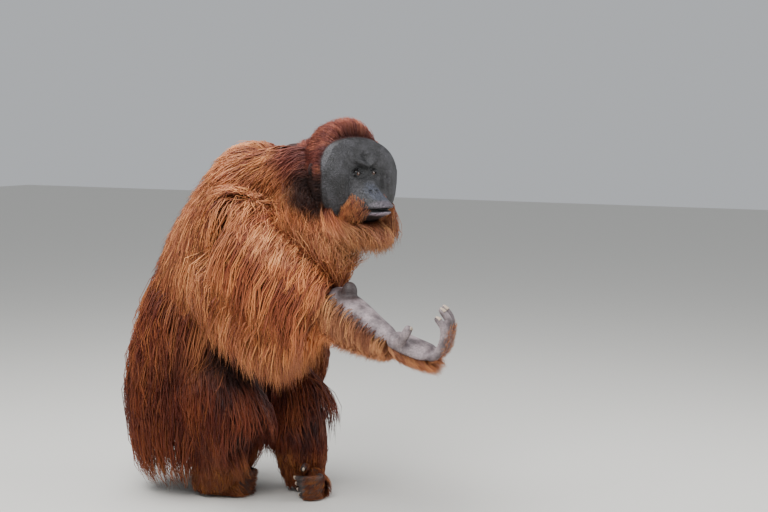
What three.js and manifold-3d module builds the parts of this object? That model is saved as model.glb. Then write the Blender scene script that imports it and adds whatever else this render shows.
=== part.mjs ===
// Adult flanged male orangutan, hunched on bent legs with the right arm held out, palm up.
// Millimetres: +X is the way the body faces, +Y its left, +Z up, the right sole at the origin.
import * as THREE from 'three';
import { mergeVertices } from 'three/addons/utils/BufferGeometryUtils.js';
import Module from 'manifold-3d';

const wasm = await Module();
wasm.setup();

// Clearances
const seam = 0.35;
const hairAboveFloor = 12;
const toeAboveFloor = 3;

// Trunk, from rump to hump
const pelvis = { x: -112, z: 452, halfWide: 190, halfDeep: 158 };
const waist = { x: -68, z: 630, halfWide: 212, halfDeep: 176 };
const chest = { x: 8, z: 800, halfWide: 222, halfDeep: 172 };
const shoulders = { x: 96, z: 952, halfWide: 218, halfDeep: 160 };
const hump = { x: 158, z: 1046, halfWide: 158, halfDeep: 122 };
const trunkTop = { x: 232, z: 1090, halfWide: 96, halfDeep: 84 };

// Head, turned a little to the right
const headCentre = { x: 462, y: -15, z: 1100 };
const headTurn = THREE.MathUtils.degToRad(-16);
const headNod = THREE.MathUtils.degToRad(2);
const face = { front: 100, rimDepth: 74, side: 150, top: 108, bottom: 158 };
const skull = { side: 112, top: 146, bottom: 104, back: 116 };
const muzzle = { reach: 82, halfWide: 54, lipHeight: -112, lipReach: 178, chinHeight: -150 };
const eye = { apart: 65, height: -1, depth: 88, radius: 12 };
const nostril = { apart: 24, height: -56, depth: 140, radius: 6.5 };
const ear = { depth: -8, side: 110, height: 8, radius: 21, thick: 8 };
const beard = { length: 128, width: 34, thick: 12 };

// Joints of the limbs, for the right (y negative) and the left side
const shoulder = { right: [196, -176, 934], left: [150, 180, 934] };
const elbow = { right: [486, -120, 716], left: [128, 286, 622] };
const wrist = { right: [771, -248, 618], left: [118, 268, 330] };
const knuckles = { right: [895, -235, 580], left: [134, 258, 214] };
const hip = { right: [-78, -108, 452], left: [-66, 108, 452] };
const knee = { right: [92, -122, 326], left: [190, 118, 320] };
const ankle = { right: [-24, -74, 92], left: [206, 134, 92] };

// Feet stand on their outer edges, with the toes curled inwards
const foot = { length: 168, halfThick: 33, halfTall: 48, flat: 5 };
const rightFoot = { x: -15, y: -65, heading: 10 };
const leftFoot = { x: 245, y: 112, heading: -34 };
const digit = { finger: 12.5, thumb: 13, toe: 10.5, hallux: 12 };

// Finishes
const finish = (color, roughness) => new THREE.MeshStandardMaterial({ color, roughness, metalness: 0 });
const coatRust = () => finish(0xb0643c, 0.9);
const coatPale = () => finish(0xc8825a, 0.9);
const coatDark = () => finish(0x5a2a1a, 0.92);
const faceSkin = () => finish(0x3f4048, 0.62);
const handSkin = () => finish(0x857673, 0.66);
const footSkin = () => finish(0x5d4a44, 0.7);
const eyeGloss = () => finish(0x2a1a12, 0.15);

const at = (x, y, z) => new THREE.Vector3(x, y, z);
const down = at(0, 0, -1);
const { lerp, clamp, degToRad } = THREE.MathUtils;

// A seeded draw between -1 and 1, the same on every run
function seededDraw(seed) {
  let state = seed;
  return () => {
    state = (Math.imul(state, 1664525) + 1013904223) >>> 0;
    return state / 2147483648 - 1;
  };
}

// A closed geometry as a solid, with its faces turned outwards
function toSolid(geometry) {
  const bare = new THREE.BufferGeometry();
  bare.setAttribute('position', geometry.getAttribute('position').clone());
  bare.setIndex(geometry.getIndex().clone());
  const merged = mergeVertices(bare, 1e-3);
  const positions = merged.getAttribute('position').array;
  const triangles = Uint32Array.from(merged.getIndex().array);
  const corner = (k) => at(...positions.slice(3 * k, 3 * k + 3));
  let volume = 0;
  for (let k = 0; k < triangles.length; k += 3) {
    const [a, b, c] = [corner(triangles[k]), corner(triangles[k + 1]), corner(triangles[k + 2])];
    volume += a.dot(b.cross(c));
  }
  if (volume < 0) {
    for (let k = 0; k < triangles.length; k += 3) {
      [triangles[k], triangles[k + 1]] = [triangles[k + 1], triangles[k]];
    }
  }
  const mesh = new wasm.Mesh({ numProp: 3, vertProperties: positions, triVerts: triangles });
  return new wasm.Manifold(mesh);
}

const joined = (solids) => solids.reduce((whole, solid) => whole.add(solid));

// The largest closed surface of a solid
function largest(solid) {
  const pieces = solid.decompose();
  return pieces.reduce((best, piece) => (piece.volume() > best.volume() ? piece : best));
}

// A rounded body along a smooth path. Each section is [x, y, z, half across, half out, half in].
class Loft {
  constructor({ sections, across, sides = 12, rings = 9, cap = 0.14 }) {
    this.path = new THREE.CatmullRomCurve3(sections.map(([x, y, z]) => at(x, y, z)), false, 'centripetal');
    this.sizes = new THREE.CatmullRomCurve3(sections.map(([, , , a, b, c]) => at(a, b, c ?? b)));
    this.across = at(...across);
    Object.assign(this, { sides, rings, cap });
    const count = 24;
    this.stations = Array.from({ length: count + 1 }, (_, k) => this.frame(k / count));
  }

  frame(t) {
    const centre = this.path.getPoint(t);
    const tangent = this.path.getTangent(t);
    const side = this.across.clone().addScaledVector(tangent, -this.across.dot(tangent)).normalize();
    const out = side.clone().cross(tangent);
    const size = this.sizes.getPoint(t);
    return { t, centre, tangent, side, out, size };
  }

  rounding(t) {
    const reach = Math.min(1, t / this.cap, (1 - t) / this.cap);
    return Math.sqrt(Math.max(0, 1 - (1 - reach) ** 2));
  }

  // A point and its outward normal at a place along and an angle round the body
  surface(t, angle, swell = 0) {
    const { centre, side, out, size, tangent } = this.frame(t);
    const round = this.rounding(t);
    const [c, s] = [Math.cos(angle), Math.sin(angle)];
    const deep = s > 0 ? size.y : size.z;
    const point = centre.clone()
      .addScaledVector(side, c * (size.x * round + swell))
      .addScaledVector(out, s * (deep * round + swell));
    const normal = side.clone().multiplyScalar(c / size.x).addScaledVector(out, s / deep).normalize();
    return { point, normal, tangent };
  }

  solid(grow = 0) {
    const geometry = new THREE.SphereGeometry(1, this.sides, this.rings);
    const position = geometry.getAttribute('position');
    for (let k = 0; k < position.count; k += 1) {
      const [x, y, z] = [position.getX(k), clamp(position.getY(k), -1, 1), position.getZ(k)];
      const t = Math.acos(y) / Math.PI;
      const atPole = Math.abs(y) > 0.99999;
      const place = this.surface(t, Math.atan2(z, x), atPole ? 0 : grow).point;
      place.addScaledVector(this.frame(t).tangent, grow * Math.sign(t - 0.5) * (atPole ? 1 : 0.5));
      position.setXYZ(k, place.x, place.y, place.z);
    }
    return toSolid(geometry);
  }

  // Pushes a point out of the body, to a share of the section's size
  pushOut(point, share) {
    let best = this.stations[0];
    for (const station of this.stations) {
      if (station.centre.distanceToSquared(point) < best.centre.distanceToSquared(point)) best = station;
    }
    const offset = point.clone().sub(best.centre);
    const [u, v, w] = [offset.dot(best.side), offset.dot(best.out), offset.dot(best.tangent)];
    const deep = v > 0 ? best.size.y : best.size.z;
    const atEnd = best.t === 0 || best.t === 1;
    const ratio = Math.hypot(u / best.size.x, v / deep, atEnd ? w / best.size.x : 0);
    if (ratio >= share || ratio < 1e-3) return;
    const stretch = share / ratio - 1;
    point.addScaledVector(best.side, u * stretch).addScaledVector(best.out, v * stretch);
    if (atEnd) point.addScaledVector(best.tangent, w * stretch);
  }
}

// One flat, tapered lock along a bent path, ridged on its outer side
const lockSegments = 4;
function lockSolid({ points, outs, width, thick }, grow = 0) {
  const geometry = new THREE.ConeGeometry(1, 1, 3, lockSegments);
  const position = geometry.getAttribute('position');
  for (let k = 0; k < position.count; k += 1) {
    const share = clamp(position.getY(k) + 0.5, 0, 1);
    const step = Math.round(share * lockSegments);
    const next = Math.min(step + 1, lockSegments);
    const last = Math.max(step - 1, 0);
    const along = points[next].clone().sub(points[last]).normalize();
    const side = along.clone().cross(outs[step]).normalize();
    const out = side.clone().cross(along);
    const radius = 1 - share;
    const [x, z] = radius > 1e-6 ? [position.getX(k) / radius, position.getZ(k) / radius] : [0, 0];
    const taper = step === lockSegments ? 0 : Math.sqrt(1 - share ** 2.4);
    const place = points[step].clone()
      .addScaledVector(side, x * (width / 2 * taper + 1.6 * grow))
      .addScaledVector(out, z * (thick * taper + 1.6 * grow));
    if (step === lockSegments) place.addScaledVector(along, 3 * grow);
    if (step === 0) place.addScaledVector(along, -grow);
    position.setXYZ(k, place.x, place.y, place.z);
  }
  return toSolid(geometry);
}

// The path of one lock: it leaves the skin along its lie, droops, and is bent clear of what it meets
function lockPath({ root, normal, lie, length, sink, lift, droop, obstacles }) {
  const points = [root.clone().addScaledVector(normal, -sink)];
  const outs = [normal.clone()];
  const step = length / lockSegments;
  for (let k = 1; k <= lockSegments; k += 1) {
    const share = k / lockSegments;
    const direction = lie.clone().multiplyScalar(1 - droop * share)
      .addScaledVector(down, droop * share)
      .addScaledVector(normal, lift * (1.4 - 2.2 * share))
      .normalize();
    const from = k === 1 ? root : points[k - 1];
    const point = from.clone().addScaledVector(direction, step);
    obstacles.forEach(({ loft, share: reach }) => loft.pushOut(point, reach));
    point.z = Math.max(point.z, hairAboveFloor + (k === lockSegments ? 0 : 6));
    points.push(point);
    outs.push(normal.clone());
  }
  return { points, outs };
}

// Rows of locks round a loft. Angles are in degrees, 0 on the across side and 90 on the out side.
function coatLocks(loft, coat) {
  const draw = seededDraw(coat.seed);
  const locks = [];
  for (let row = 0; row < coat.rows; row += 1) {
    const alongShare = coat.rows > 1 ? row / (coat.rows - 1) : 0;
    const count = Math.round(lerp(coat.count[0], coat.count[1], alongShare));
    for (let k = 0; k < count; k += 1) {
      const t = clamp(lerp(coat.from, coat.to, alongShare) + coat.stray * draw(), 0.02, 0.98);
      const turn = (k + 0.5 + 0.25 * (row % 2 ? 1 : -1) + 0.18 * draw()) / count;
      const angle = degToRad(lerp(coat.angles[0], coat.angles[1], turn));
      const { point, normal, tangent } = loft.surface(t, angle);
      const length = coat.length(t, normal) * (1 + 0.14 * draw());
      if (length <= 0) continue;
      const lie = coat.lie(tangent, normal, t).addScaledVector(tangent.clone().cross(normal), 0.12 * draw());
      lie.addScaledVector(normal, -lie.dot(normal)).normalize();
      const { lift, droop, obstacles = [] } = coat;
      const path = lockPath({
        root: point, normal, lie, length, sink: coat.sink, lift, droop,
        obstacles: [{ loft, share: 1.03 }, ...obstacles],
      });
      const width = coat.width * (1 + 0.15 * draw());
      locks.push({ ...path, width, thick: coat.thick * (1 + 0.15 * draw()) });
    }
  }
  return locks;
}

const coatDepth = 34;
const coated = (loft) => (grow) => loft.solid(grow + coatDepth);

// Trunk
const trunkSection = ({ x, z, halfWide, halfDeep }) => [x, 0, z, halfWide, halfDeep];
const trunkLoft = new Loft({
  sections: [
    [pelvis.x - 14, 0, pelvis.z - 152, pelvis.halfWide * 0.84, pelvis.halfDeep * 0.84],
    ...[pelvis, waist, chest, shoulders, hump, trunkTop].map(trunkSection),
  ],
  across: [0, 1, 0], sides: 20, rings: 18, cap: 0.1,
});

// Neck, from the trunk into the back of the head
const neckLoft = new Loft({
  sections: [
    [trunkTop.x - 40, 0, trunkTop.z - 14, 112, 96],
    [trunkTop.x + 40, -2, trunkTop.z - 12, 108, 92, 118],
    [headCentre.x - 90, -6, headCentre.z - 22, 96, 98, 112],
    [headCentre.x - 20, -12, headCentre.z - 30, 80, 80, 88],
  ],
  across: [0, 1, 0], sides: 16, rings: 8, cap: 0.16,
});

// Limbs: a loft between two joints, thick where the muscle is
function limbLoft({ from, to, across, sizes, start = -0.12, end = 1.04, sides = 12, rings = 9 }) {
  const [a, b] = [at(...from), at(...to)];
  const sections = sizes.map((size, k) => {
    const share = lerp(start, end, k / (sizes.length - 1));
    return [...a.clone().lerp(b, share).toArray(), ...size];
  });
  return new Loft({ sections, across, sides, rings, cap: 0.15 });
}

const upperArmRight = limbLoft({
  from: shoulder.right, to: elbow.right, across: [0.35, -0.9, 0.1], sides: 14, rings: 10,
  sizes: [[74, 72, 90], [92, 76, 128], [92, 70, 150], [76, 60, 142], [60, 50, 92]],
});
const upperArmLeft = limbLoft({
  from: shoulder.left, to: elbow.left, across: [0, -1, 0], sides: 12, rings: 9,
  sizes: [[84, 84], [92, 94], [86, 90], [76, 82], [62, 66]],
});
const forearmRight = limbLoft({
  from: elbow.right, to: wrist.right, across: [0.4, -0.9, 0], sides: 14, rings: 9, start: -0.02,
  sizes: [[52, 46, 84], [56, 46, 84], [46, 36, 60], [32, 26, 34]],
});
const forearmLeft = limbLoft({
  from: elbow.left, to: wrist.left, across: [0, -1, 0], sides: 12, rings: 8, start: 0.0,
  sizes: [[58, 60], [66, 70], [54, 58], [34, 38]],
});
const thighRight = limbLoft({
  from: hip.right, to: knee.right, across: [0, -1, 0], start: -0.3, end: 1.14,
  sizes: [[90, 110, 96], [104, 118, 112], [92, 104, 96], [72, 80, 74]],
});
const thighLeft = limbLoft({
  from: hip.left, to: knee.left, across: [0, -1, 0], start: -0.2, end: 1.1,
  sizes: [[90, 110, 96], [102, 116, 108], [90, 100, 94], [72, 78, 74]],
});
const shinRight = limbLoft({
  from: knee.right, to: ankle.right, across: [0, -1, 0], start: 0.02, end: 1.12, rings: 8,
  sizes: [[66, 70], [66, 72], [52, 56], [42, 46]],
});
const shinLeft = limbLoft({
  from: knee.left, to: ankle.left, across: [0, -1, 0], start: 0.02, end: 1.12, rings: 8,
  sizes: [[66, 70], [68, 74], [54, 58], [42, 46]],
});

// Feet
function footParts({ x, y, heading }) {
  const turn = degToRad(heading);
  const forward = at(Math.cos(turn), Math.sin(turn), 0);
  const place = (along, inward, z, mirror) => at(x, y, z)
    .addScaledVector(forward, along)
    .addScaledVector(at(-forward.y, forward.x, 0), inward * mirror);
  return { forward, place };
}

function footLoft(spot) {
  const { forward, place } = footParts(spot);
  const half = foot.length / 2;
  const middle = foot.halfTall - foot.flat;
  const section = (along, thick, tall) => [
    ...place(along, 0, Math.min(middle, tall - foot.flat), 1).toArray(), thick, tall,
  ];
  return new Loft({
    sections: [
      section(-half, 27, 36), section(-half * 0.5, foot.halfThick, foot.halfTall),
      section(half * 0.3, foot.halfThick * 0.92, foot.halfTall), section(half, 26, 42),
    ],
    across: [-forward.y, forward.x, 0], sides: 12, rings: 8,
  });
}

// Everything under the floor is cut off, which leaves the sole's flat
const belowFloor = () => {
  const slab = new THREE.BoxGeometry(3000, 3000, 400);
  slab.translate(0, 0, -200);
  return toSolid(slab);
};

function toeLofts(spot, mirror) {
  const { place } = footParts(spot);
  const half = foot.length / 2;
  const heights = [74, 53, 33, 15];
  const toes = heights.map((z, k) => {
    const reach = half + 34 - 3 * k;
    const z0 = Math.max(z, digit.toe + toeAboveFloor);
    const r = digit.toe - 0.4 * k;
    return [
      [...place(half - 16, 2, z0, mirror).toArray(), r, r],
      [...place(reach - 6, 10, z0, mirror).toArray(), r * 1.04, r * 1.04],
      [...place(reach, 42, z0, mirror).toArray(), r, r],
      [...place(reach - 26, 72 - 5 * k, z0 - 1, mirror).toArray(), r * 0.94, r * 0.94],
      [...place(reach - 58, 84 - 7 * k, z0 - 1, mirror).toArray(), r * 0.72, r * 0.72],
    ];
  });
  const hallux = [
    [...place(-8, 12, 88, mirror).toArray(), digit.hallux, digit.hallux],
    [...place(22, 26, 100, mirror).toArray(), digit.hallux, digit.hallux],
    [...place(52, 44, 102, mirror).toArray(), digit.hallux * 0.9, digit.hallux * 0.9],
    [...place(66, 60, 98, mirror).toArray(), digit.hallux * 0.7, digit.hallux * 0.7],
  ];
  return [hallux, ...toes].map((sections) => new Loft({
    sections, across: [0, 0, 1], sides: 8, rings: 8, cap: 0.16,
  }));
}

// Hands
function handFrame(side, palmNormal) {
  const start = at(...wrist[side]);
  const forward = at(...knuckles[side]).sub(start).normalize();
  const normal = at(...palmNormal).addScaledVector(forward, -at(...palmNormal).dot(forward)).normalize();
  const thumbward = forward.clone().cross(normal).multiplyScalar(side === 'right' ? 1 : -1);
  const reach = at(...knuckles[side]).distanceTo(start);
  const place = (along, across, lift) => start.clone()
    .addScaledVector(forward, along)
    .addScaledVector(thumbward, across)
    .addScaledVector(normal, lift);
  return { forward, normal, thumbward, reach, place };
}

function palmLoft({ reach, thumbward, place }) {
  return new Loft({
    sections: [
      [...place(-6, 0, 0).toArray(), 29, 22], [...place(reach * 0.35, 5, 0).toArray(), 42, 25],
      [...place(reach * 0.75, 4, -1).toArray(), 47, 22], [...place(reach + 10, 0, 0).toArray(), 46, 16],
    ],
    across: thumbward.toArray(), sides: 14, rings: 9, cap: 0.14,
  });
}

// A digit as a chain of bones, each [along, lift] from the last
function digitLoft(frame, start, bones, radius) {
  let [along, across, lift] = start;
  const sections = [[...frame.place(along, across, lift).toArray(), radius, radius]];
  bones.forEach(([ahead, aside, up], k) => {
    along += ahead;
    across += aside;
    lift += up;
    const r = radius * (1 - 0.1 * (k + 1) - (k === bones.length - 1 ? 0.12 : 0));
    sections.push([...frame.place(along, across, lift).toArray(), r, r]);
  });
  return new Loft({ sections, across: frame.thumbward.toArray(), sides: 8, rings: 9, cap: 0.14 });
}

const fingerNames = ['index', 'middle', 'ring', 'little'];
const fingerSpread = [33, 11, -11, -32];
const fingerScale = [0.94, 1.04, 1, 0.84];

function handDigits(frame, curl, thumbBones) {
  const fingers = fingerNames.map((name, k) => {
    const bones = curl(k).map(([ahead, aside, up]) => [ahead * fingerScale[k], aside, up * fingerScale[k]]);
    return [name, digitLoft(frame, [frame.reach + 2, fingerSpread[k], -1], bones, digit.finger)];
  });
  const thumb = digitLoft(frame, [34, 40, 6], thumbBones, digit.thumb);
  return [['thumb', thumb], ...fingers];
}

const rightHand = handFrame('right', [0.25, -0.1, 1]);
const leftHand = handFrame('left', [-0.3, -1, 0]);
const rightDigits = handDigits(
  rightHand,
  (k) => [[30, 1, 12 + 3 * k], [14 - 3 * k, -1, 42], [-6, 0, 36], [-28, 0, 16 + 3 * k]],
  [[16, 14, 18], [12, 4, 30], [4, -4, 24]],
);
const leftDigits = handDigits(
  leftHand,
  (k) => [[40, 1, 6 + k], [22, 0, 26], [-6, 0, 26], [-22, 0, 8]],
  [[22, 10, 10], [20, -2, 12], [12, -6, 8]],
);

// Head: rings from the tip of the nose, over the rim of the cheek flanges, to the back of the skull
const bell = (value, centre, spread, power = 2) => Math.exp(-(Math.abs((value - centre) / spread) ** power));

// How far the front of the face stands forward of its plain dished disc
const muzzleProfile = new THREE.SplineCurve([
  [26, 0], [0, 0.04], [-24, 0.2], [-54, 0.56], [-82, 0.92], [-104, 1.02], [-124, 0.98], [-144, 0.8],
  [-164, 0.42], [-186, 0.06],
].map(([height, share]) => new THREE.Vector2(height, share)));

function muzzleShare(z) {
  const samples = 90;
  let best = { gap: Infinity, share: 0 };
  for (let k = 0; k <= samples; k += 1) {
    const { x, y } = muzzleProfile.getPoint(k / samples);
    const off = Math.abs(x - z);
    if (off < best.gap) best = { gap: off, share: y };
  }
  return best.gap > 6 ? 0 : best.share;
}

function faceRelief(y, z) {
  const wide = Math.abs(y);
  const snout = muzzle.reach * muzzleShare(z) * bell(wide, 0, muzzle.halfWide + 0.1 * Math.max(0, -z - 60), 2.6);
  const flange = 13 * bell(wide, 106, 38) * bell(z, -12, 96, 4);
  const brow = 15 * bell(z, 21 + 0.3 * wide, 12) * bell(wide, 0, 62, 4);
  const forehead = 10 * bell(z, 66, 34) * bell(wide, 0, 48);
  const dent = 9 * bell(wide, 0, 12) * bell(z, 42, 12);
  const socket = 15 * bell(wide, eye.apart / 2, 18) * bell(z, eye.height, 14);
  const valley = 7 * bell(wide, 66, 14) * bell(z, -30, 60);
  return snout + flange + brow + forehead - dent - socket - valley;
}

const outline = (angle, side, top, bottom) => {
  const [c, s] = [Math.cos(angle), Math.sin(angle)];
  const tall = s > 0 ? top : bottom;
  const power = 2.3;
  return (Math.abs(c / side) ** power + Math.abs(s / tall) ** power) ** (-1 / power);
};

const faceShare = 0.62;
const rimShare = 0.74;
function headPoint(share, angle, grow) {
  const rim = outline(angle, face.side, face.top, face.bottom);
  const cranium = outline(angle, skull.side, skull.top, skull.bottom);
  const [c, s] = [Math.cos(angle), Math.sin(angle)];
  let x;
  let radius;
  if (share <= faceShare) {
    const spread = 0.955 * Math.sin(share / faceShare * Math.PI / 2) ** 1.06;
    radius = rim * spread;
    x = face.front - (face.front - face.rimDepth) * spread ** 2;
    x += faceRelief(radius * c, radius * s) * (1 - spread ** 8);
  } else if (share <= rimShare) {
    const around = (share - faceShare) / (rimShare - faceShare);
    radius = rim * (0.955 + 0.045 * Math.sin(around * Math.PI));
    radius = lerp(radius, Math.max(rim * 0.93, cranium * 0.9), around ** 2);
    x = face.rimDepth - 4 - around * 34;
    x += faceRelief(rim * 0.955 * c, rim * 0.955 * s) * (1 - 0.955 ** 8) * (1 - around);
  } else {
    const back = (share - rimShare) / (1 - rimShare);
    const start = Math.max(rim * 0.93, cranium * 0.9);
    const dome = Math.cos(back * Math.PI / 2) ** 0.62;
    radius = lerp(start, cranium, Math.min(1, back * 2.6)) * dome;
    x = lerp(face.rimDepth - 38, -skull.back, Math.sin(back * Math.PI / 2));
  }
  return at(x + (share < 0.7 ? grow : -grow), (radius + grow) * c, (radius + grow) * s);
}

const headMatrix = new THREE.Matrix4()
  .makeTranslation(headCentre.x, headCentre.y, headCentre.z)
  .multiply(new THREE.Matrix4().makeRotationZ(headTurn))
  .multiply(new THREE.Matrix4().makeRotationY(headNod));
const headPlace = (x, y, z) => at(x, y, z).applyMatrix4(headMatrix);

function skullSolid(grow) {
  const geometry = new THREE.SphereGeometry(1, 40, 27);
  const position = geometry.getAttribute('position');
  for (let k = 0; k < position.count; k += 1) {
    const y = clamp(position.getY(k), -1, 1);
    const share = Math.acos(y) / Math.PI;
    const angle = Math.atan2(position.getZ(k), position.getX(k));
    const place = headPoint(share, Math.abs(y) > 0.99999 ? 0 : angle, grow).applyMatrix4(headMatrix);
    position.setXYZ(k, place.x, place.y, place.z);
  }
  return toSolid(geometry);
}

// A stretched ball in the head's own frame
function headBall(centre, radii, detail = 10) {
  const ball = new THREE.SphereGeometry(1, detail, Math.max(6, detail - 3));
  ball.scale(...radii);
  ball.translate(...centre);
  ball.applyMatrix4(headMatrix);
  return toSolid(ball);
}

// A bar that follows the curve of the lips across the muzzle
function lipBar(height, reach, halfTall, halfDeep, spread) {
  const corner = reach - 52;
  const sections = [-1, -0.62, 0, 0.62, 1].map((share) => {
    const x = lerp(reach, corner, Math.abs(share) ** 1.8);
    const end = Math.abs(share) === 1 ? 0.5 : 1;
    return [...headPlace(x, share * spread, height - 4 * Math.abs(share)).toArray(), halfTall * end, halfDeep * end];
  });
  return new Loft({ sections, across: [0, 0, 1], sides: 6, rings: 12, cap: 0.1 });
}

const eyeSides = { right: -1, left: 1 };
const eyeCentre = (side) => [eye.depth, eyeSides[side] * eye.apart / 2, eye.height];

// Both lids as one ring round the eye, wider than it is tall
function lidRing(side) {
  const ring = new THREE.TorusGeometry(11, 3.4, 6, 14);
  ring.rotateY(Math.PI / 2);
  ring.scale(1, 1.18, 0.66);
  const [x, y, z] = eyeCentre(side);
  ring.translate(x + 9.5, y, z);
  ring.applyMatrix4(headMatrix);
  return toSolid(ring);
}

// Beard and cheek hair hang from the jaw, with the longest locks under the chin
function beardLocks() {
  const draw = seededDraw(41);
  const rows = [
    { x: 128, side: 62, height: -146, count: 9, spread: 82, length: 1 },
    { x: 96, side: 84, height: -128, count: 10, spread: 96, length: 0.98 },
    { x: 66, side: 104, height: -112, count: 10, spread: 100, length: 0.9 },
  ];
  return rows.flatMap((row) => Array.from({ length: row.count }, (_, k) => {
    const turn = degToRad(lerp(-row.spread, row.spread, (k + 0.5 + 0.2 * draw()) / row.count));
    const local = [row.x * Math.cos(turn) + 26, row.side * Math.sin(turn), row.height];
    const normal = at(Math.cos(turn), Math.sin(turn), -0.35).applyAxisAngle(at(0, 0, 1), headTurn).normalize();
    const path = lockPath({
      root: headPlace(...local).addScaledVector(normal, -10), normal, lie: at(0.1, 0, -1).normalize(),
      length: beard.length * row.length * (1 + 0.12 * draw()), sink: 16, lift: 0.3, droop: 0.8, obstacles: [],
    });
    return { ...path, width: beard.width, thick: beard.thick };
  }));
}

const beardLoft = new Loft({
  sections: [
    [...headPlace(96, 0, -120).toArray(), 66, 46], [...headPlace(104, 0, -180).toArray(), 74, 44],
    [...headPlace(108, 0, -236).toArray(), 52, 34], [...headPlace(106, 0, -262).toArray(), 24, 18],
  ],
  across: [0.27, 0.96, 0], sides: 14, rings: 8,
});

function headSolid(grow) {
  const skin = joined([
    skullSolid(grow),
    lipBar(muzzle.lipHeight + 8, muzzle.lipReach - 4, 7 + grow, 7 + grow, 47).solid(),
    lipBar(muzzle.lipHeight - 10, muzzle.lipReach - 5, 6.5 + grow, 8 + grow, 42).solid(),
    beardLoft.solid(grow),
  ]);
  if (grow > 0) return skin;
  const mouth = lipBar(muzzle.lipHeight, muzzle.lipReach + 4, 2.6, 15, 44).solid();
  const nostrils = Object.values(eyeSides).map((way) => headBall(
    [nostril.depth, way * nostril.apart / 2, nostril.height],
    [nostril.radius * 1.5, nostril.radius, nostril.radius * 0.8],
    8,
  ));
  const lids = Object.keys(eyeSides).map(lidRing);
  const balls = Object.keys(eyeSides).map((side) => headBall(eyeCentre(side), Array(3).fill(eye.radius + seam), 12));
  const cuts = joined([mouth, ...nostrils, ...balls]);
  return joined([skin.subtract(joined([mouth, ...nostrils])), ...lids]).subtract(cuts);
}

// A cupped ear: a flat oval with its hollow facing forward and out
function earSolid(side, grow) {
  const way = eyeSides[side];
  const centre = [ear.depth, way * ear.side, ear.height];
  const shell = headBall(centre, [ear.thick + grow, ear.radius * 0.66 + grow, ear.radius + grow], 12);
  const hollow = headBall(
    [centre[0] + ear.thick, centre[1] + way * 3, centre[2] + 1],
    [ear.thick * 1.1, ear.radius * 0.42, ear.radius * 0.7],
    10,
  );
  return grow > 0 ? shell : shell.subtract(hollow);
}

// How the long coat lies on each part
const alongAndDown = (along, fall) => (tangent) => tangent.clone().multiplyScalar(along).addScaledVector(down, fall);
const trunkCoat = coatLocks(trunkLoft, {
  seed: 7, rows: 6, count: [17, 13], from: 0.16, to: 0.9, stray: 0.02, angles: [25, 335],
  width: 84, thick: 26, sink: 26, lift: 0.34, droop: 0.55,
  length: (t, normal) => (normal.x > 0.35 ? 0.6 : 1) * lerp(300, 170, t),
  lie: alongAndDown(-1, 0.5), obstacles: [{ loft: upperArmRight, share: 1.12 }, { loft: upperArmLeft, share: 1.12 }],
});
const upperArmCoatRight = coatLocks(upperArmRight, {
  seed: 11, rows: 5, count: [11, 10], from: 0.22, to: 0.9, stray: 0.03, angles: [-200, 130],
  width: 74, thick: 22, sink: 24, lift: 0.3, droop: 0.9,
  length: (t, normal) => (normal.z > 0.4 ? 110 : 190), lie: alongAndDown(-0.55, 0.6),
  obstacles: [{ loft: trunkLoft, share: 1.15 }],
});
const upperArmCoatLeft = coatLocks(upperArmLeft, {
  seed: 13, rows: 4, count: [9, 8], from: 0.25, to: 0.9, stray: 0.03, angles: [-170, 170],
  width: 66, thick: 20, sink: 22, lift: 0.34, droop: 0.6,
  length: () => 170, lie: alongAndDown(0.6, 0.5), obstacles: [{ loft: trunkLoft, share: 1.15 }],
});
const forearmCoatRight = coatLocks(forearmRight, {
  seed: 17, rows: 5, count: [8, 7], from: 0.12, to: 0.86, stray: 0.03, angles: [-190, 20],
  width: 52, thick: 16, sink: 18, lift: 0.24, droop: 0.9,
  length: (t, normal) => (normal.z > 0.3 ? 0 : lerp(120, 60, t)), lie: alongAndDown(-0.2, 0.7),
});
const forearmCoatLeft = coatLocks(forearmLeft, {
  seed: 19, rows: 4, count: [8, 7], from: 0.14, to: 0.86, stray: 0.03, angles: [-180, 180],
  width: 50, thick: 15, sink: 18, lift: 0.3, droop: 0.5, length: () => 110, lie: alongAndDown(0.6, 0.4),
});
const legCoat = (loft, seed, options) => coatLocks(loft, {
  seed, rows: 3, count: [7, 7], from: 0.3, to: 0.85, stray: 0.03, angles: [-180, 180],
  width: 66, thick: 20, sink: 22, lift: 0.3, droop: 0.7, length: () => 170, lie: alongAndDown(0.4, 0.6), ...options,
});
const thighCoatRight = legCoat(thighRight, 23, { angles: [-120, 90] });
const thighCoatLeft = legCoat(thighLeft, 29, { angles: [-120, 90] });
const shinCoatRight = legCoat(shinRight, 31, { rows: 3, from: 0.25, to: 0.75, length: () => 120, width: 52, thick: 16 });
const shinCoatLeft = legCoat(shinLeft, 37, { rows: 3, from: 0.25, to: 0.75, length: () => 120, width: 52, thick: 16 });

// Every piece, in the order in which neighbours give way to each other
const piece = (name, material, anchor, solid) => ({ name, material, anchor, solid });
const bare = (loft) => (grow) => loft.solid(grow);
const onFloor = (loft) => (grow) => (grow > 0 ? loft.solid(grow) : loft.solid().subtract(belowFloor()));
const headAnchor = headPlace(0, 0, 0).toArray();
const trunkAnchor = [chest.x, 0, chest.z];

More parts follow.
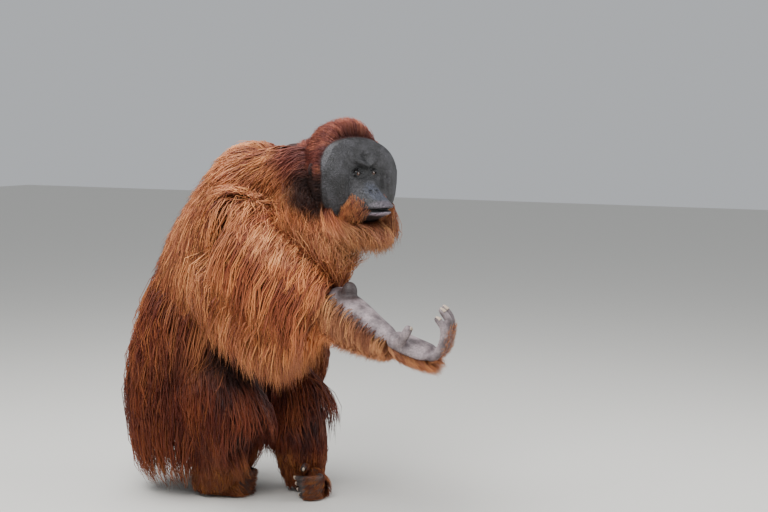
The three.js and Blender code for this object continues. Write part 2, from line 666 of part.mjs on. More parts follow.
const pieces = [
  piece('eye_right', eyeGloss, headAnchor, (grow) => headBall(eyeCentre('right'), Array(3).fill(eye.radius + grow), 12)),
  piece('eye_left', eyeGloss, headAnchor, (grow) => headBall(eyeCentre('left'), Array(3).fill(eye.radius + grow), 12)),
  piece('head', faceSkin, headAnchor, headSolid),
  piece('ear_right', faceSkin, headAnchor, (grow) => earSolid('right', grow)),
  piece('ear_left', faceSkin, headAnchor, (grow) => earSolid('left', grow)),
  piece('torso', coatRust, trunkAnchor, coated(trunkLoft, trunkCoat)),
  piece('neck', coatDark, headAnchor, bare(neckLoft)),
  piece('upper_arm_right', coatPale, shoulder.right, coated(upperArmRight, upperArmCoatRight)),
  piece('upper_arm_left', coatRust, shoulder.left, coated(upperArmLeft, upperArmCoatLeft)),
  piece('forearm_right', coatPale, elbow.right, coated(forearmRight, forearmCoatRight)),
  piece('forearm_left', coatRust, elbow.left, coated(forearmLeft, forearmCoatLeft)),
  piece('hand_right', handSkin, wrist.right, bare(palmLoft(rightHand))),
  piece('hand_left', handSkin, wrist.left, bare(palmLoft(leftHand))),
  ...rightDigits.map(([name, loft]) => piece(`${name}_right`, handSkin, knuckles.right, bare(loft))),
  ...leftDigits.map(([name, loft]) => piece(`${name}_left`, handSkin, knuckles.left, bare(loft))),
  piece('thigh_right', coatDark, hip.right, coated(thighRight, thighCoatRight)),
  piece('thigh_left', coatDark, hip.left, coated(thighLeft, thighCoatLeft)),
  piece('shin_right', coatDark, knee.right, coated(shinRight, shinCoatRight)),
  piece('shin_left', coatDark, knee.left, coated(shinLeft, shinCoatLeft)),
  piece('foot_right', footSkin, ankle.right, onFloor(footLoft(rightFoot))),
  piece('foot_left', footSkin, ankle.left, onFloor(footLoft(leftFoot))),
  ...['hallux', 'toe_2', 'toe_3', 'toe_4', 'toe_5'].flatMap((name, k) => [
    piece(`${name}_right`, footSkin, ankle.right, bare(toeLofts(rightFoot, 1)[k])),
    piece(`${name}_left`, footSkin, ankle.left, bare(toeLofts(leftFoot, -1)[k])),
  ]),
];

// Neighbours are cut clear of each other, and each piece keeps its one closed surface
function boxesMeet(a, b) {
  const [p, q] = [a.boundingBox(), b.boundingBox()];
  return [0, 1, 2].every((k) => p.min[k] < q.max[k] && q.min[k] < p.max[k]);
}

const orangutan = new THREE.Group();
orangutan.position.set(-rightFoot.x, -rightFoot.y, 0);
const placed = [];
for (const { name, material, anchor, solid } of pieces) {
  let body = solid(0);
  for (const earlier of placed) {
    if (boxesMeet(body, earlier)) body = body.subtract(earlier);
  }
  placed.push(solid(seam));
  const { vertProperties, triVerts } = largest(body).getMesh();
  const geometry = new THREE.BufferGeometry();
  geometry.setAttribute('position', new THREE.BufferAttribute(Float32Array.from(vertProperties), 3));
  geometry.setIndex(new THREE.BufferAttribute(Uint32Array.from(triVerts), 1));
  geometry.translate(-anchor[0], -anchor[1], -anchor[2]);
  const mesh = new THREE.Mesh(geometry, material());
  mesh.name = name;
  mesh.position.set(...anchor);
  orangutan.add(mesh);
}

export default orangutan;
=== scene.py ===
import math
import bpy
import numpy as np
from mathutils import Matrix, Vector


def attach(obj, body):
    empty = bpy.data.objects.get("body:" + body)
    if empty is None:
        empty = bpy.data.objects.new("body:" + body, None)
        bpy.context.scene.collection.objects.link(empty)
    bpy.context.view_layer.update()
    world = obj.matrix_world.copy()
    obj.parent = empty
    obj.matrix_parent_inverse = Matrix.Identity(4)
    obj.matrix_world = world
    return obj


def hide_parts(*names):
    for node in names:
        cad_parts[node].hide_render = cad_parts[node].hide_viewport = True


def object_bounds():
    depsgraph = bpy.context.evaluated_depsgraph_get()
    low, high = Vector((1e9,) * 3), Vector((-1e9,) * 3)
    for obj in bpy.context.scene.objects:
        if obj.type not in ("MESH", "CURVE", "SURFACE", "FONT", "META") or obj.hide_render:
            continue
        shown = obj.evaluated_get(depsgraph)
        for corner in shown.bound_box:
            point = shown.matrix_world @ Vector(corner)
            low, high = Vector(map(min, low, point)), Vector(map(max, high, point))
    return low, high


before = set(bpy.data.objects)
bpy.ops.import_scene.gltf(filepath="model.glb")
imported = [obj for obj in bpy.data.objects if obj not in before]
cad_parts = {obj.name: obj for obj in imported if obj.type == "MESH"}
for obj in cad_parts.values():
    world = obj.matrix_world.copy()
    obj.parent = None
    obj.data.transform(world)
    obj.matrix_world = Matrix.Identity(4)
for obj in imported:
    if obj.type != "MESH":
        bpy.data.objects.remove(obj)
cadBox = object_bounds()

# Sizes are in millimetres in the body's own frame; toFrame moves them to the shared frame in metres
bodyShift = np.array([15.0, 65.0, 0.0])
def toFrame(points):
    return (np.asarray(points) + bodyShift) * 0.001


# Camera, as the photo looks at the animal
camera = {"place": (2.965, -4.005, 1.30), "tilt": 84.34, "turn": 30.0, "lens": 70}
bpy.ops.object.camera_add(
    location=camera["place"],
    rotation=(math.radians(camera["tilt"]), 0, math.radians(camera["turn"])),
)
cameraObject = bpy.context.object
cameraObject.data.lens = camera["lens"]
cameraObject.data.sensor_width = 36
bpy.context.scene.camera = cameraObject
print("camera set")


# Small helpers for points, shares and colours
def unit(v):
    return v / np.maximum(np.linalg.norm(v, axis=-1, keepdims=True), 1e-9)


def bell(value, centre, spread, power=2):
    return np.exp(-np.abs((value - centre) / spread) ** power)


def mix(a, b, share):
    return a + (b - a) * share


def colour(red, green, blue):
    return tuple((c / 255) ** 2.2 for c in (red, green, blue)) + (1.0,)


# A smooth curve through the points, read at shares from 0 to 1
def smoothCurve(points, t):
    points = np.asarray(points, float)
    place = np.clip(t, 0, 1) * (len(points) - 1)
    k = np.minimum(place.astype(int), len(points) - 2)
    w = (place - k)[:, None]
    padded = np.vstack([2 * points[0] - points[1], points, 2 * points[-1] - points[-2]])
    p0, p1, p2, p3 = (padded[k + j] for j in range(4))
    d0, d1, d2 = (((b - a) ** 2).sum(-1, keepdims=True) ** 0.25 for a, b in ((p0, p1), (p1, p2), (p2, p3)))
    d1 = np.where(d1 < 1e-4, 1, d1)
    d0, d2 = np.where(d0 < 1e-4, d1, d0), np.where(d2 < 1e-4, d1, d2)
    m1 = ((p1 - p0) / d0 - (p2 - p0) / (d0 + d1) + (p2 - p1) / d1) * d1
    m2 = ((p2 - p1) / d1 - (p3 - p1) / (d1 + d2) + (p3 - p2) / d2) * d1
    return p1 + m1 * w + (3 * (p2 - p1) - 2 * m1 - m2) * w**2 + (2 * (p1 - p2) + m1 + m2) * w**3


# A rounded body along a path: each section is x, y, z, half across, half out, half in
def makeLoft(sections, across, cap=0.14):
    rows = np.array([[*row, row[4]] if len(row) == 5 else list(row) for row in sections], float)
    loft = {"path": rows[:, :3], "sizes": rows[:, 3:], "across": np.array(across, float), "cap": cap}
    loft["stations"] = loftFrame(loft, np.linspace(0, 1, 25))
    return loft


def loftFrame(loft, t):
    step = 1e-4
    centre = smoothCurve(loft["path"], t)
    ahead, behind = (smoothCurve(loft["path"], np.clip(t + way * step, 0, 1)) for way in (1, -1))
    tangent = unit(ahead - behind)
    side = unit(loft["across"] - tangent * (tangent @ loft["across"])[:, None])
    return centre, tangent, side, np.cross(side, tangent), smoothCurve(loft["sizes"], t)


def loftSurface(loft, t, angle, swell=0.0):
    centre, tangent, side, out, size = loftFrame(loft, t)
    reach = np.minimum(1, np.minimum(t, 1 - t) / loft["cap"])
    rounding = np.sqrt(np.maximum(0, 1 - (1 - reach) ** 2))
    c, s = np.cos(angle), np.sin(angle)
    deep = np.where(s > 0, size[:, 1], size[:, 2])
    wide = size[:, 0]
    point = centre + side * (c * (wide * rounding + swell))[:, None]
    point = point + out * (s * (deep * rounding + swell))[:, None]
    normal = unit(side * (c / wide)[:, None] + out * (s / deep)[:, None])
    return point, normal, tangent


# Pushes points out of a loft until they clear its skin
def pushOut(loft, points, clear):
    centres, tangents, sides, outs, sizes = loft["stations"]
    best = ((points[:, None, :] - centres[None]) ** 2).sum(-1).argmin(1)
    offset = points - centres[best]
    u = (offset * sides[best]).sum(-1)
    v = (offset * outs[best]).sum(-1)
    w = (offset * tangents[best]).sum(-1)
    atEnd = (best == 0) | (best == len(centres) - 1)
    wide = sizes[best, 0]
    deep = np.where(v > 0, sizes[best, 1], sizes[best, 2])
    ratio = np.sqrt((u / wide) ** 2 + (v / deep) ** 2 + np.where(atEnd, w / wide, 0) ** 2)
    length = np.sqrt(u**2 + v**2 + np.where(atEnd, w, 0) ** 2)
    reach = 1 + clear / np.maximum(length, 1e-6) * ratio
    stretch = np.where((ratio < reach) & (ratio > 1e-3), reach / np.maximum(ratio, 1e-3) - 1, 0)
    moved = sides[best] * (u * stretch)[:, None] + outs[best] * (v * stretch)[:, None]
    moved += tangents[best] * np.where(atEnd, w * stretch, 0)[:, None]
    return points + moved


# The body's named sizes
trunk = {
    "pelvis": (-122, 452, 196, 168), "waist": (-68, 630, 212, 176), "chest": (8, 800, 222, 172),
    "shoulders": (96, 952, 218, 160), "hump": (150, 1058, 160, 126), "top": (232, 1090, 96, 84),
}
headCentre = np.array([472.0, -22.0, 1101.0])
headTurn, headNod = math.radians(-17), math.radians(2)
face = {"front": 100, "rimDepth": 78, "side": 157, "top": 110, "bottom": 162, "slope": 0.26, "chinPower": 3}
skull = {"side": 116, "top": 164, "bottom": 104, "back": 122}
muzzle = {"reach": 109, "halfWide": 60, "lipHeight": -107}
eye = {"apart": 65, "height": -1, "depth": 86, "radius": 12}
nostril = {"apart": 25, "height": -56, "radius": 6.5}
ear = {"depth": -8, "side": 134, "height": 8, "radius": 21, "thick": 8}
joints = {
    "shoulderRight": (196, -176, 934), "shoulderLeft": (150, 180, 934),
    "elbowRight": (486, -120, 716), "elbowLeft": (128, 286, 622),
    "wristRight": (771, -248, 618), "wristLeft": (118, 268, 330),
    "knucklesRight": (895, -235, 580), "knucklesLeft": (134, 258, 214),
    "hipRight": (-78, -108, 452), "hipLeft": (-66, 108, 452),
    "kneeRight": (92, -122, 326), "kneeLeft": (190, 118, 320),
    "ankleRight": (-24, -74, 92), "ankleLeft": (206, 134, 92),
}
foot = {"length": 168, "halfThick": 33, "halfTall": 48, "flat": 5}
feet = {
    "Right": {"x": -15, "y": -65, "heading": 10, "mirror": 1},
    "Left": {"x": 245, "y": 112, "heading": -34, "mirror": -1},
}
digit = {"finger": 13.2, "thumb": 15, "toe": 10, "hallux": 11}
elbowKnob = {"ahead": 84, "aside": -40, "rise": 20, "radius": 27, "squash": (0.9, 0.9, 1.15)}


def trunkRow(name):
    x, z, wide, deep = trunk[name]
    return (x, 0, z, wide, deep)


pelvis, top = trunk["pelvis"], trunk["top"]
trunkLoft = makeLoft(
    [(pelvis[0] - 14, 0, pelvis[1] - 152, pelvis[2] * 0.84, pelvis[3] * 0.84)]
    + [trunkRow(name) for name in trunk],
    (0, 1, 0), 0.1,
)
neckLoft = makeLoft([
    (top[0] - 40, 0, top[1] - 14, 112, 96), (top[0] + 40, -2, top[1] - 12, 108, 92, 118),
    (headCentre[0] - 90, -6, headCentre[2] - 22, 96, 98, 112),
    (headCentre[0] - 20, -12, headCentre[2] - 30, 80, 80, 88),
], (0, 1, 0), 0.18)


def limb(start, end, across, sizes, first=-0.12, last=1.04):
    a, b = np.array(joints[start], float), np.array(joints[end], float)
    shares = np.linspace(first, last, len(sizes))
    return makeLoft([(*mix(a, b, share), *size) for share, size in zip(shares, sizes)], across, 0.15)


limbs = {
    "upperArmRight": limb("shoulderRight", "elbowRight", (0.35, -0.9, 0.1),
                          [(74, 72, 90), (92, 76, 128), (92, 70, 150), (76, 60, 142), (60, 50, 92)]),
    "upperArmLeft": limb("shoulderLeft", "elbowLeft", (0, -1, 0),
                         [(84, 84), (92, 94), (86, 90), (76, 82), (62, 66)]),
    "forearmRight": limb("elbowRight", "wristRight", (0.4, -0.9, 0),
                         [(52, 46, 84), (56, 46, 84), (48, 37, 64), (36, 28, 40)], -0.02),
    "forearmLeft": limb("elbowLeft", "wristLeft", (0, -1, 0), [(58, 60), (66, 70), (54, 58), (34, 38)], 0.0),
    "thighRight": limb("hipRight", "kneeRight", (0, -1, 0),
                       [(90, 110, 96), (104, 118, 112), (92, 104, 96), (72, 80, 74)], -0.3, 1.14),
    "thighLeft": limb("hipLeft", "kneeLeft", (0, -1, 0),
                      [(90, 110, 96), (102, 116, 108), (90, 100, 94), (72, 78, 74)], -0.2, 1.1),
    "shinRight": limb("kneeRight", "ankleRight", (0, -1, 0),
                      [(66, 70), (66, 72), (52, 56), (42, 46)], 0.02, 1.12),
    "shinLeft": limb("kneeLeft", "ankleLeft", (0, -1, 0),
                      [(66, 70), (68, 74), (54, 58), (42, 46)], 0.02, 1.12),
}


# Feet on their outer edges, toes curled inwards
def footPlace(spot, along, inward, z, mirrored=True):
    turn = math.radians(spot["heading"])
    forward = np.array([math.cos(turn), math.sin(turn), 0])
    aside = np.array([-forward[1], forward[0], 0]) * (spot["mirror"] if mirrored else 1)
    return np.array([spot["x"], spot["y"], z]) + forward * along + aside * inward


def footLofts(spot):
    half, middle = foot["length"] / 2, foot["halfTall"] - foot["flat"]
    rows = [(-half, 27, 36), (-half * 0.5, foot["halfThick"], foot["halfTall"]),
            (half * 0.3, foot["halfThick"] * 0.92, foot["halfTall"]), (half, 26, 42)]
    turn = math.radians(spot["heading"])
    sole = makeLoft(
        [(*footPlace(spot, along, 0, min(middle, tall - foot["flat"])), thick, tall)
         for along, thick, tall in rows],
        (-math.sin(turn), math.cos(turn), 0),
    )
    big = digit["hallux"]
    toes = [[(-8, 12, 88, big), (22, 26, 100, big), (52, 44, 102, big * 0.9), (66, 60, 98, big * 0.7)]]
    for k, height in enumerate((77, 56, 35, 14)):
        reach, z, r = half + 34 - 3 * k, max(height, digit["toe"] + 3), digit["toe"] - 0.3 * k
        toes.append([(half - 16, 2, z, r), (reach - 6, 10, z, r * 1.04), (reach, 42, z, r),
                     (reach - 26, 72 - 5 * k, z - 1, r * 0.94), (reach - 58, 84 - 7 * k, z - 1, r * 0.72)])
    return sole, [
        makeLoft([(*footPlace(spot, along, inward, up), r, r) for along, inward, up, r in toe],
                 (0, 0, 1), 0.16) for toe in toes
    ]


def handFrame(side, palmNormal):
    start, end = np.array(joints["wrist" + side], float), np.array(joints["knuckles" + side], float)
    forward = unit(end - start)
    normal = np.array(palmNormal, float)
    normal = unit(normal - forward * normal.dot(forward))
    thumbward = np.cross(forward, normal) * (1 if side == "Right" else -1)
    return {"start": start, "forward": forward, "normal": normal, "thumbward": thumbward,
            "reach": np.linalg.norm(end - start)}


def handPlace(hand, along, across, lift):
    return hand["start"] + hand["forward"] * along + hand["thumbward"] * across + hand["normal"] * lift


def digitLoft(hand, start, bones, radius):
    place = np.array(start, float)
    rows = [(*handPlace(hand, *place), radius, radius)]
    for k, bone in enumerate(bones):
        place = place + np.array(bone, float)
        r = radius * (1 - 0.04 * (k + 1) - (0.1 if k == len(bones) - 1 else 0))
        rows.append((*handPlace(hand, *place), r, r))
    return makeLoft(rows, hand["thumbward"])


def handLofts(hand, curl, thumbBones):
    reach = hand["reach"]
    palm = makeLoft([
        (*handPlace(hand, -8, 0, 0), 34, 25), (*handPlace(hand, reach * 0.35, 6, 0), 48, 29),
        (*handPlace(hand, reach * 0.75, 4, -1), 54, 26), (*handPlace(hand, reach + 11, 0, 0), 54, 19),
    ], hand["thumbward"], 0.16)
    fingers = [digitLoft(hand, (34, 40, 6), thumbBones, digit["thumb"])]
    for k, (aside, scale) in enumerate(zip((40, 13.4, -13.4, -40), (0.94, 1.04, 1, 0.84))):
        bones = [(a * scale, b, c * scale) for a, b, c in curl(k)]
        fingers.append(digitLoft(hand, (reach + 2, aside, -1), bones, digit["finger"]))
    return palm, fingers


rightHand, leftHand = handFrame("Right", (0.25, -0.1, 1)), handFrame("Left", (-0.3, -1, 0))
hands = {
    "Right": handLofts(
        rightHand, lambda k: [(31, 1, 18 + 4 * k), (11 - 3 * k, -1, 53), (-10, 0, 45), (-36, 0, 22 + 3 * k)],
        [(16, 14, 19), (12, 4, 31), (4, -4, 25)],
    ),
    "Left": handLofts(
        leftHand, lambda k: [(40, 1, 6 + k), (22, 0, 26), (-6, 0, 26), (-22, 0, 8)],
        [(22, 10, 10), (20, -2, 12), (12, -6, 8)],
    ),
}


# The head's surface, and how far the muzzle stands out at each height
muzzleShares = np.array([
    (26, 0), (0, 0.03), (-24, 0.14), (-56, 0.38), (-72, 0.62), (-90, 0.9), (-106, 1), (-124, 0.94),
    (-144, 0.72), (-164, 0.36), (-186, 0.05),
], float)
muzzleLine = smoothCurve(np.c_[muzzleShares, np.zeros(len(muzzleShares))], np.linspace(0, 1, 200))[::-1]


def faceRelief(y, z):
    wide = np.abs(y)
    breadth = muzzle["halfWide"] * mix(0.62, 1, np.clip((-z - 20) / 60, 0, 1))
    snout = muzzle["reach"] * np.interp(z, muzzleLine[:, 0], muzzleLine[:, 1]) * bell(wide, 0, breadth, 3.4)
    flange = 13 * bell(wide, 106, 38) * bell(z, -12, 96, 4)
    brow = 15 * bell(z, 23 + 0.42 * wide, 11) * bell(wide, 0, 58, 4)
    forehead = 10 * bell(z, 66, 34) * bell(wide, 0, 48)
    dent = 11 * bell(wide, 0, 13) * bell(z, 52, 14)
    socket = 17 * bell(wide, eye["apart"] / 2, 22) * bell(z, eye["height"], 17)
    valley = 7 * bell(wide, 66, 14) * bell(z, -30, 60)
    return snout + flange + brow + forehead - dent - socket - valley


# Folds, lips and nostrils that the skin adds to the plain form
folds = {"lips": 8, "mouth": 20, "nostril": 14, "eyeFold": 2.2, "muzzleFold": 1.6, "browFold": 2.0,
         "flangeFold": 2.4}


def faceFolds(y, z):
    wide = np.abs(y)
    mouthLine = muzzle["lipHeight"] - 4 * (wide / 44) ** 2
    across = bell(wide, 0, 52, 6)
    lips = folds["lips"] * across * (bell(z, mouthLine + 11, 7) + 1.1 * bell(z, mouthLine - 12, 6.5))
    mouth = folds["mouth"] * bell(wide, 0, 49, 8) * bell(z, mouthLine, 3 + 2.4 * bell(wide, 0, 36, 3), 4)
    fromNostril = np.hypot((wide - nostril["apart"] / 2) / 1.0, (z - nostril["height"]) / 0.8)
    nose = folds["nostril"] * bell(fromNostril, 0, 6.2) - 3.5 * bell(fromNostril, 11, 4)
    septum = 3 * bell(wide, 0, 3.5) * bell(z, nostril["height"] + 2, 10)
    fromEye = np.hypot((wide - eye["apart"] / 2) / 1.25, z - eye["height"])
    below = np.clip((eye["height"] + 6 - z) / 8, 0, 1)
    eyeFold = folds["eyeFold"] * below * (np.cos(fromEye * 0.95) * bell(fromEye, 21, 9))
    upper = np.clip((z - eye["height"]) / 8, 0, 1)
    eyeFold = eyeFold + folds["eyeFold"] * 0.8 * upper * np.cos(fromEye * 1.1) * bell(fromEye, 18, 6)
    muzzleFold = folds["muzzleFold"] * np.cos((z + 0.35 * wide) * 0.62) * bell(z, -30, 22) * bell(wide, 20, 26)
    browFold = folds["browFold"] * np.cos((z - 0.25 * wide) * 0.55) * bell(z, 50, 24) * bell(wide, 0, 40)
    flangeFold = folds["flangeFold"] * np.cos(wide * 0.34 + 0.02 * z) * bell(wide, 82, 20) * bell(z, -20, 60)
    return lips - mouth - nose + septum + eyeFold + muzzleFold + browFold + flangeFold


def outline(angle, side, top, bottom, lowPower=2.3):
    c, s = np.cos(angle), np.sin(angle)
    tall = np.where(s > 0, top, bottom)
    power = np.where(s > 0, 2.3, lowPower)
    return (np.abs(c / side) ** power + np.abs(s / tall) ** power) ** (-1 / power)


# Shares of the way from the face's middle to the nape: the end of the face, and of its rim
faceShare, rimShare, rimSpread = 0.62, 0.74, 0.955
skullStart = face["rimDepth"] - 38


def headLocal(share, angle, detail=1.0):
    rim = outline(angle, face["side"], face["top"], face["bottom"], face["chinPower"])
    cranium = outline(angle, skull["side"], skull["top"], skull["bottom"])
    c, s = np.cos(angle), np.sin(angle)
    start = np.maximum(rim * 0.93, cranium * 0.9)
    spread = rimSpread * np.sin(np.clip(share / faceShare, 0, 1) * math.pi / 2) ** 1.06
    faceRadius = rim * spread
    y, z = faceRadius * c, faceRadius * s
    faceX = face["front"] - (face["front"] - face["rimDepth"]) * spread**2
    faceX = faceX + (faceRelief(y, z) + detail * faceFolds(y, z)) * (1 - spread**8)
    around = np.clip((share - faceShare) / 0.12, 0, 1)
    rimRadius = mix(rim * (rimSpread + 0.045 * np.sin(around * math.pi)), start, around**2)
    rimX = face["rimDepth"] - 4 - around * 34
    rimX = rimX + faceRelief(rim * rimSpread * c, rim * rimSpread * s) * (1 - rimSpread**8) * (1 - around)
    back = np.clip((share - rimShare) / 0.26, 0, 1)
    dome = np.maximum(np.cos(back * math.pi / 2), 0) ** 0.62
    backRadius = mix(start, cranium, np.minimum(1, back * 2.6)) * dome
    backX = mix(skullStart, -skull["back"], np.sin(back * math.pi / 2))
    onFace, onRim = share <= faceShare, share <= rimShare
    x = np.where(onFace, faceX, np.where(onRim, rimX, backX))
    radius = np.where(onFace, faceRadius, np.where(onRim, rimRadius, backRadius))
    x = x - face["slope"] * np.maximum(0, radius * s) * (1 - back)
    return np.stack([x, radius * c, radius * s], -1)


nod = np.array([
    [math.cos(headNod), 0, math.sin(headNod)], [0, 1, 0], [-math.sin(headNod), 0, math.cos(headNod)],
])
turnRound = np.array([
    [math.cos(headTurn), -math.sin(headTurn), 0], [math.sin(headTurn), math.cos(headTurn), 0], [0, 0, 1],
])
headAxes = turnRound @ nod


def headPlace(local):
    return np.asarray(local) @ headAxes.T + headCentre


def headSurface(_, share, angle, swell=0.0):
    step = 2e-3

    def place(ring, turn):
        return headPlace(headLocal(ring, turn, 0))

    here = place(share, angle)
    back = place(np.clip(share + step, 0, 1), angle) - place(np.clip(share - step, 0, 1), angle)
    around = place(share, angle + step) - place(share, angle - step)
    normal = unit(np.cross(back, around))
    outward = here - headPlace(np.array([[-10.0, 0, 0]]))
    normal = normal * np.sign((normal * outward).sum(-1, keepdims=True))
    return here + normal * swell, normal, unit(back)


# Lays hair behind the face flat on the skull: no lower than its clear height and no higher than its depth
flatHair = {"depth": 10, "ahead": 20}


def clearHead(points, clear):
    local = (points - headCentre) @ headAxes
    back = np.arcsin(np.clip((skullStart - local[:, 0]) / (skullStart + skull["back"]), 0, 1)) * 2 / math.pi
    skin = headLocal(mix(rimShare, 1, np.minimum(back, 0.999)), np.arctan2(local[:, 2], local[:, 1]), 0)
    reach = np.hypot(skin[:, 1], skin[:, 2]) + clear * (1 + 4 * np.clip(local[:, 1] / 70, 0, 1))
    far = np.hypot(local[:, 1], local[:, 2])
    inside = (back < 1) & (local[:, 0] < skullStart + flatHair["ahead"])
    flat = np.clip(far, reach, reach + flatHair["depth"])
    local[:, 1:] *= np.where(inside, flat / np.maximum(far, 1e-6), 1)[:, None]
    return headPlace(local)


# The skin: one piece under the coat, remeshed from rounded forms
def meshPoints(mesh):
    points = np.empty(len(mesh.vertices) * 3)
    mesh.vertices.foreach_get("co", points)
    return points.reshape(-1, 3)


def movePoints(mesh, points):
    mesh.vertices.foreach_set("co", toFrame(points).ravel())
    mesh.update()


def sphereForm(place, segments, rings):
    bpy.ops.object.select_all(action="DESELECT")
    bpy.ops.mesh.primitive_uv_sphere_add(segments=segments, ring_count=rings, radius=1)
    form = bpy.context.object
    points = meshPoints(form.data)
    t = np.arccos(np.clip(points[:, 2], -1, 1)) / math.pi
    movePoints(form.data, place(t, np.arctan2(points[:, 1], points[:, 0])))
    return form


def loftForm(loft, inward=0.0, segments=48, rings=36):
    return sphereForm(lambda t, angle: loftSurface(loft, t, angle, -inward)[0], segments, rings)


def unitBall(t, angle):
    ring = np.sin(math.pi * t)
    return np.stack([ring * np.cos(angle), ring * np.sin(angle), np.cos(math.pi * t)], -1)


def headBall(centre, radii, segments=32, rings=20):
    return sphereForm(
        lambda t, angle: headPlace(unitBall(t, angle) * np.array(radii) + np.array(centre)), segments, rings,
    )


def joinForms(forms, name):
    bpy.ops.object.select_all(action="DESELECT")
    for form in forms:
        form.select_set(True)
    bpy.context.view_layer.objects.active = forms[0]
    if len(forms) > 1:
        bpy.ops.object.join()
    whole = bpy.context.object
    whole.name = whole.data.name = name
    return whole


def remeshed(forms, name, voxel, smoothing, material):
    whole = joinForms(forms, name)
    remesh = whole.modifiers.new("Remesh", "REMESH")
    remesh.mode = "VOXEL"
    remesh.voxel_size = voxel
    bpy.ops.object.modifier_apply(modifier=remesh.name)
    smooth = whole.modifiers.new("Smooth", "SMOOTH")
    smooth.factor, smooth.iterations = 0.5, smoothing
    bpy.ops.object.modifier_apply(modifier=smooth.name)
    bpy.ops.object.shade_smooth()
    whole.data.materials.clear()
    whole.data.materials.append(material)
    print(name, "made:", len(whole.data.polygons), "faces")
    return whole


# Nodes of the materials; a value is a number, a colour or another node's output
def newMaterial(name):
    material = bpy.data.materials.new(name)
    material.use_nodes = True
    return material, material.node_tree.nodes, material.node_tree.links


def fill(links, socket, value):
    if isinstance(value, (int, float, tuple)):
        socket.default_value = value
    else:
        links.new(value, socket)


def mathNode(nodes, links, operation, *values):
    node = nodes.new("ShaderNodeMath")
    node.operation = operation
    for socket, value in zip(node.inputs, values):
        fill(links, socket, value)
    return node.outputs[0]


def vectorNode(nodes, links, operation, *values):
    node = nodes.new("ShaderNodeVectorMath")
    node.operation = operation
    for socket, value in zip(node.inputs, values):
        fill(links, socket, value)
    return node.outputs["Value" if operation in ("LENGTH", "DISTANCE") else "Vector"]


def mixColour(nodes, links, share, first, second):
    node = nodes.new("ShaderNodeMix")
    node.data_type = "RGBA"
    for index, value in ((0, share), (6, first), (7, second)):
        fill(links, node.inputs[index], value)
    return node.outputs[2]


def noiseNode(nodes, links, where, scale, detail=2):
    node = nodes.new("ShaderNodeTexNoise")
    node.inputs["Scale"].default_value = scale
    node.inputs["Detail"].default_value = detail
    links.new(where, node.inputs["Vector"])
    return node


def rangeNode(nodes, links, value, ends=(0, 1), to=(0, 1), smooth=False):
    node = nodes.new("ShaderNodeMapRange")
    if smooth:
        node.interpolation_type = "SMOOTHSTEP"
    for name, end in zip(("From Min", "From Max", "To Min", "To Max"), (*ends, *to)):
        node.inputs[name].default_value = end
    links.new(value, node.inputs["Value"])
    return node.outputs[0]


# 1 well inside an ellipsoid, fading to 0 between the two edges
def insideMask(nodes, links, where, centre, size, edges):
    offset = vectorNode(nodes, links, "SUBTRACT", where, centre)
    far = vectorNode(nodes, links, "LENGTH", vectorNode(nodes, links, "DIVIDE", offset, size))
    return rangeNode(nodes, links, far, edges, smooth=True)


def brightened(nodes, links, value, tint):
    node = nodes.new("ShaderNodeHueSaturation")
    links.new(value, node.inputs["Value"])
    links.new(tint, node.inputs["Color"])
    return node


# The coat's first colours, deep in the hair and at its tips, and where others lie over them:
# a centre and half sizes in metres, then the deep colour and the tips' colour
coatStart = {"deep": (108, 56, 34), "tip": (210, 134, 90)}
coatMarkings = {
    "lowBack": ((-0.2, 0.06, 0.58), (0.26, 0.4, 0.26), (76, 36, 22), (158, 86, 54)),
    "legs": ((0.0, 0.06, 0.16), (0.6, 0.6, 0.36), (44, 20, 13), (116, 54, 34)),
    # painted shade: near-black hair where shadow falls in the gap between the legs
    "legGapShade": ((0.08, -0.03, 0.36), (0.10, 0.12, 0.20), (15, 8, 6), (48, 23, 15)),
    "feet": ((0.14, 0.1, 0.02), (0.44, 0.4, 0.12), (72, 38, 24), (144, 82, 50)),
    "arm": ((0.44, -0.12, 0.76), (0.30, 0.24, 0.24), (132, 68, 40), (222, 140, 92)),
    # painted highlight: paler hair along the top of the upper arm, where the light falls on it
    "armTopHighlight": ((0.40, -0.13, 0.87), (0.17, 0.13, 0.075), (146, 80, 48), (228, 156, 110)),
    "crown": ((0.43, 0.04, 1.18), (0.18, 0.26, 0.15), (64, 30, 26), (156, 86, 72)),
    "shoulderShade": ((0.44, 0.0, 1.035), (0.11, 0.19, 0.09), (20, 10, 8), (54, 27, 19)),
    "beard": ((0.64, 0.02, 0.87), (0.15, 0.2, 0.12), (102, 60, 40), (190, 128, 88)),
    "forearm": ((0.72, -0.12, 0.66), (0.22, 0.24, 0.16), (112, 68, 44), (206, 140, 100)),
}
markingLook = {"noiseScale": 9, "wander": 0.09, "edges": (1.25, 0.75)}


def markingsGroup():
    group = bpy.data.node_groups.new("coatMarkings", "ShaderNodeTree")
    group.interface.new_socket("Position", in_out="INPUT", socket_type="NodeSocketVector")
    group.interface.new_socket("Deep", in_out="OUTPUT", socket_type="NodeSocketColor")
    group.interface.new_socket("Tip", in_out="OUTPUT", socket_type="NodeSocketColor")
    nodes, links = group.nodes, group.links
    start, end = nodes.new("NodeGroupInput"), nodes.new("NodeGroupOutput")
    noise = noiseNode(nodes, links, start.outputs[0], markingLook["noiseScale"])
    reach = markingLook["wander"]
    wander = vectorNode(nodes, links, "MULTIPLY_ADD", noise.outputs["Color"], (reach,) * 3, start.outputs[0])
    deep, tip = (colour(*coatStart[name]) for name in ("deep", "tip"))
    for centre, size, deepTint, tipTint in coatMarkings.values():
        middle = tuple(c + reach / 2 for c in centre)
        inside = insideMask(nodes, links, wander, middle, size, markingLook["edges"])
        deep = mixColour(nodes, links, inside, deep, colour(*deepTint))
        tip = mixColour(nodes, links, inside, tip, colour(*tipTint))
    links.new(deep, end.inputs[0])
    links.new(tip, end.inputs[1])
    return group


markings = markingsGroup()


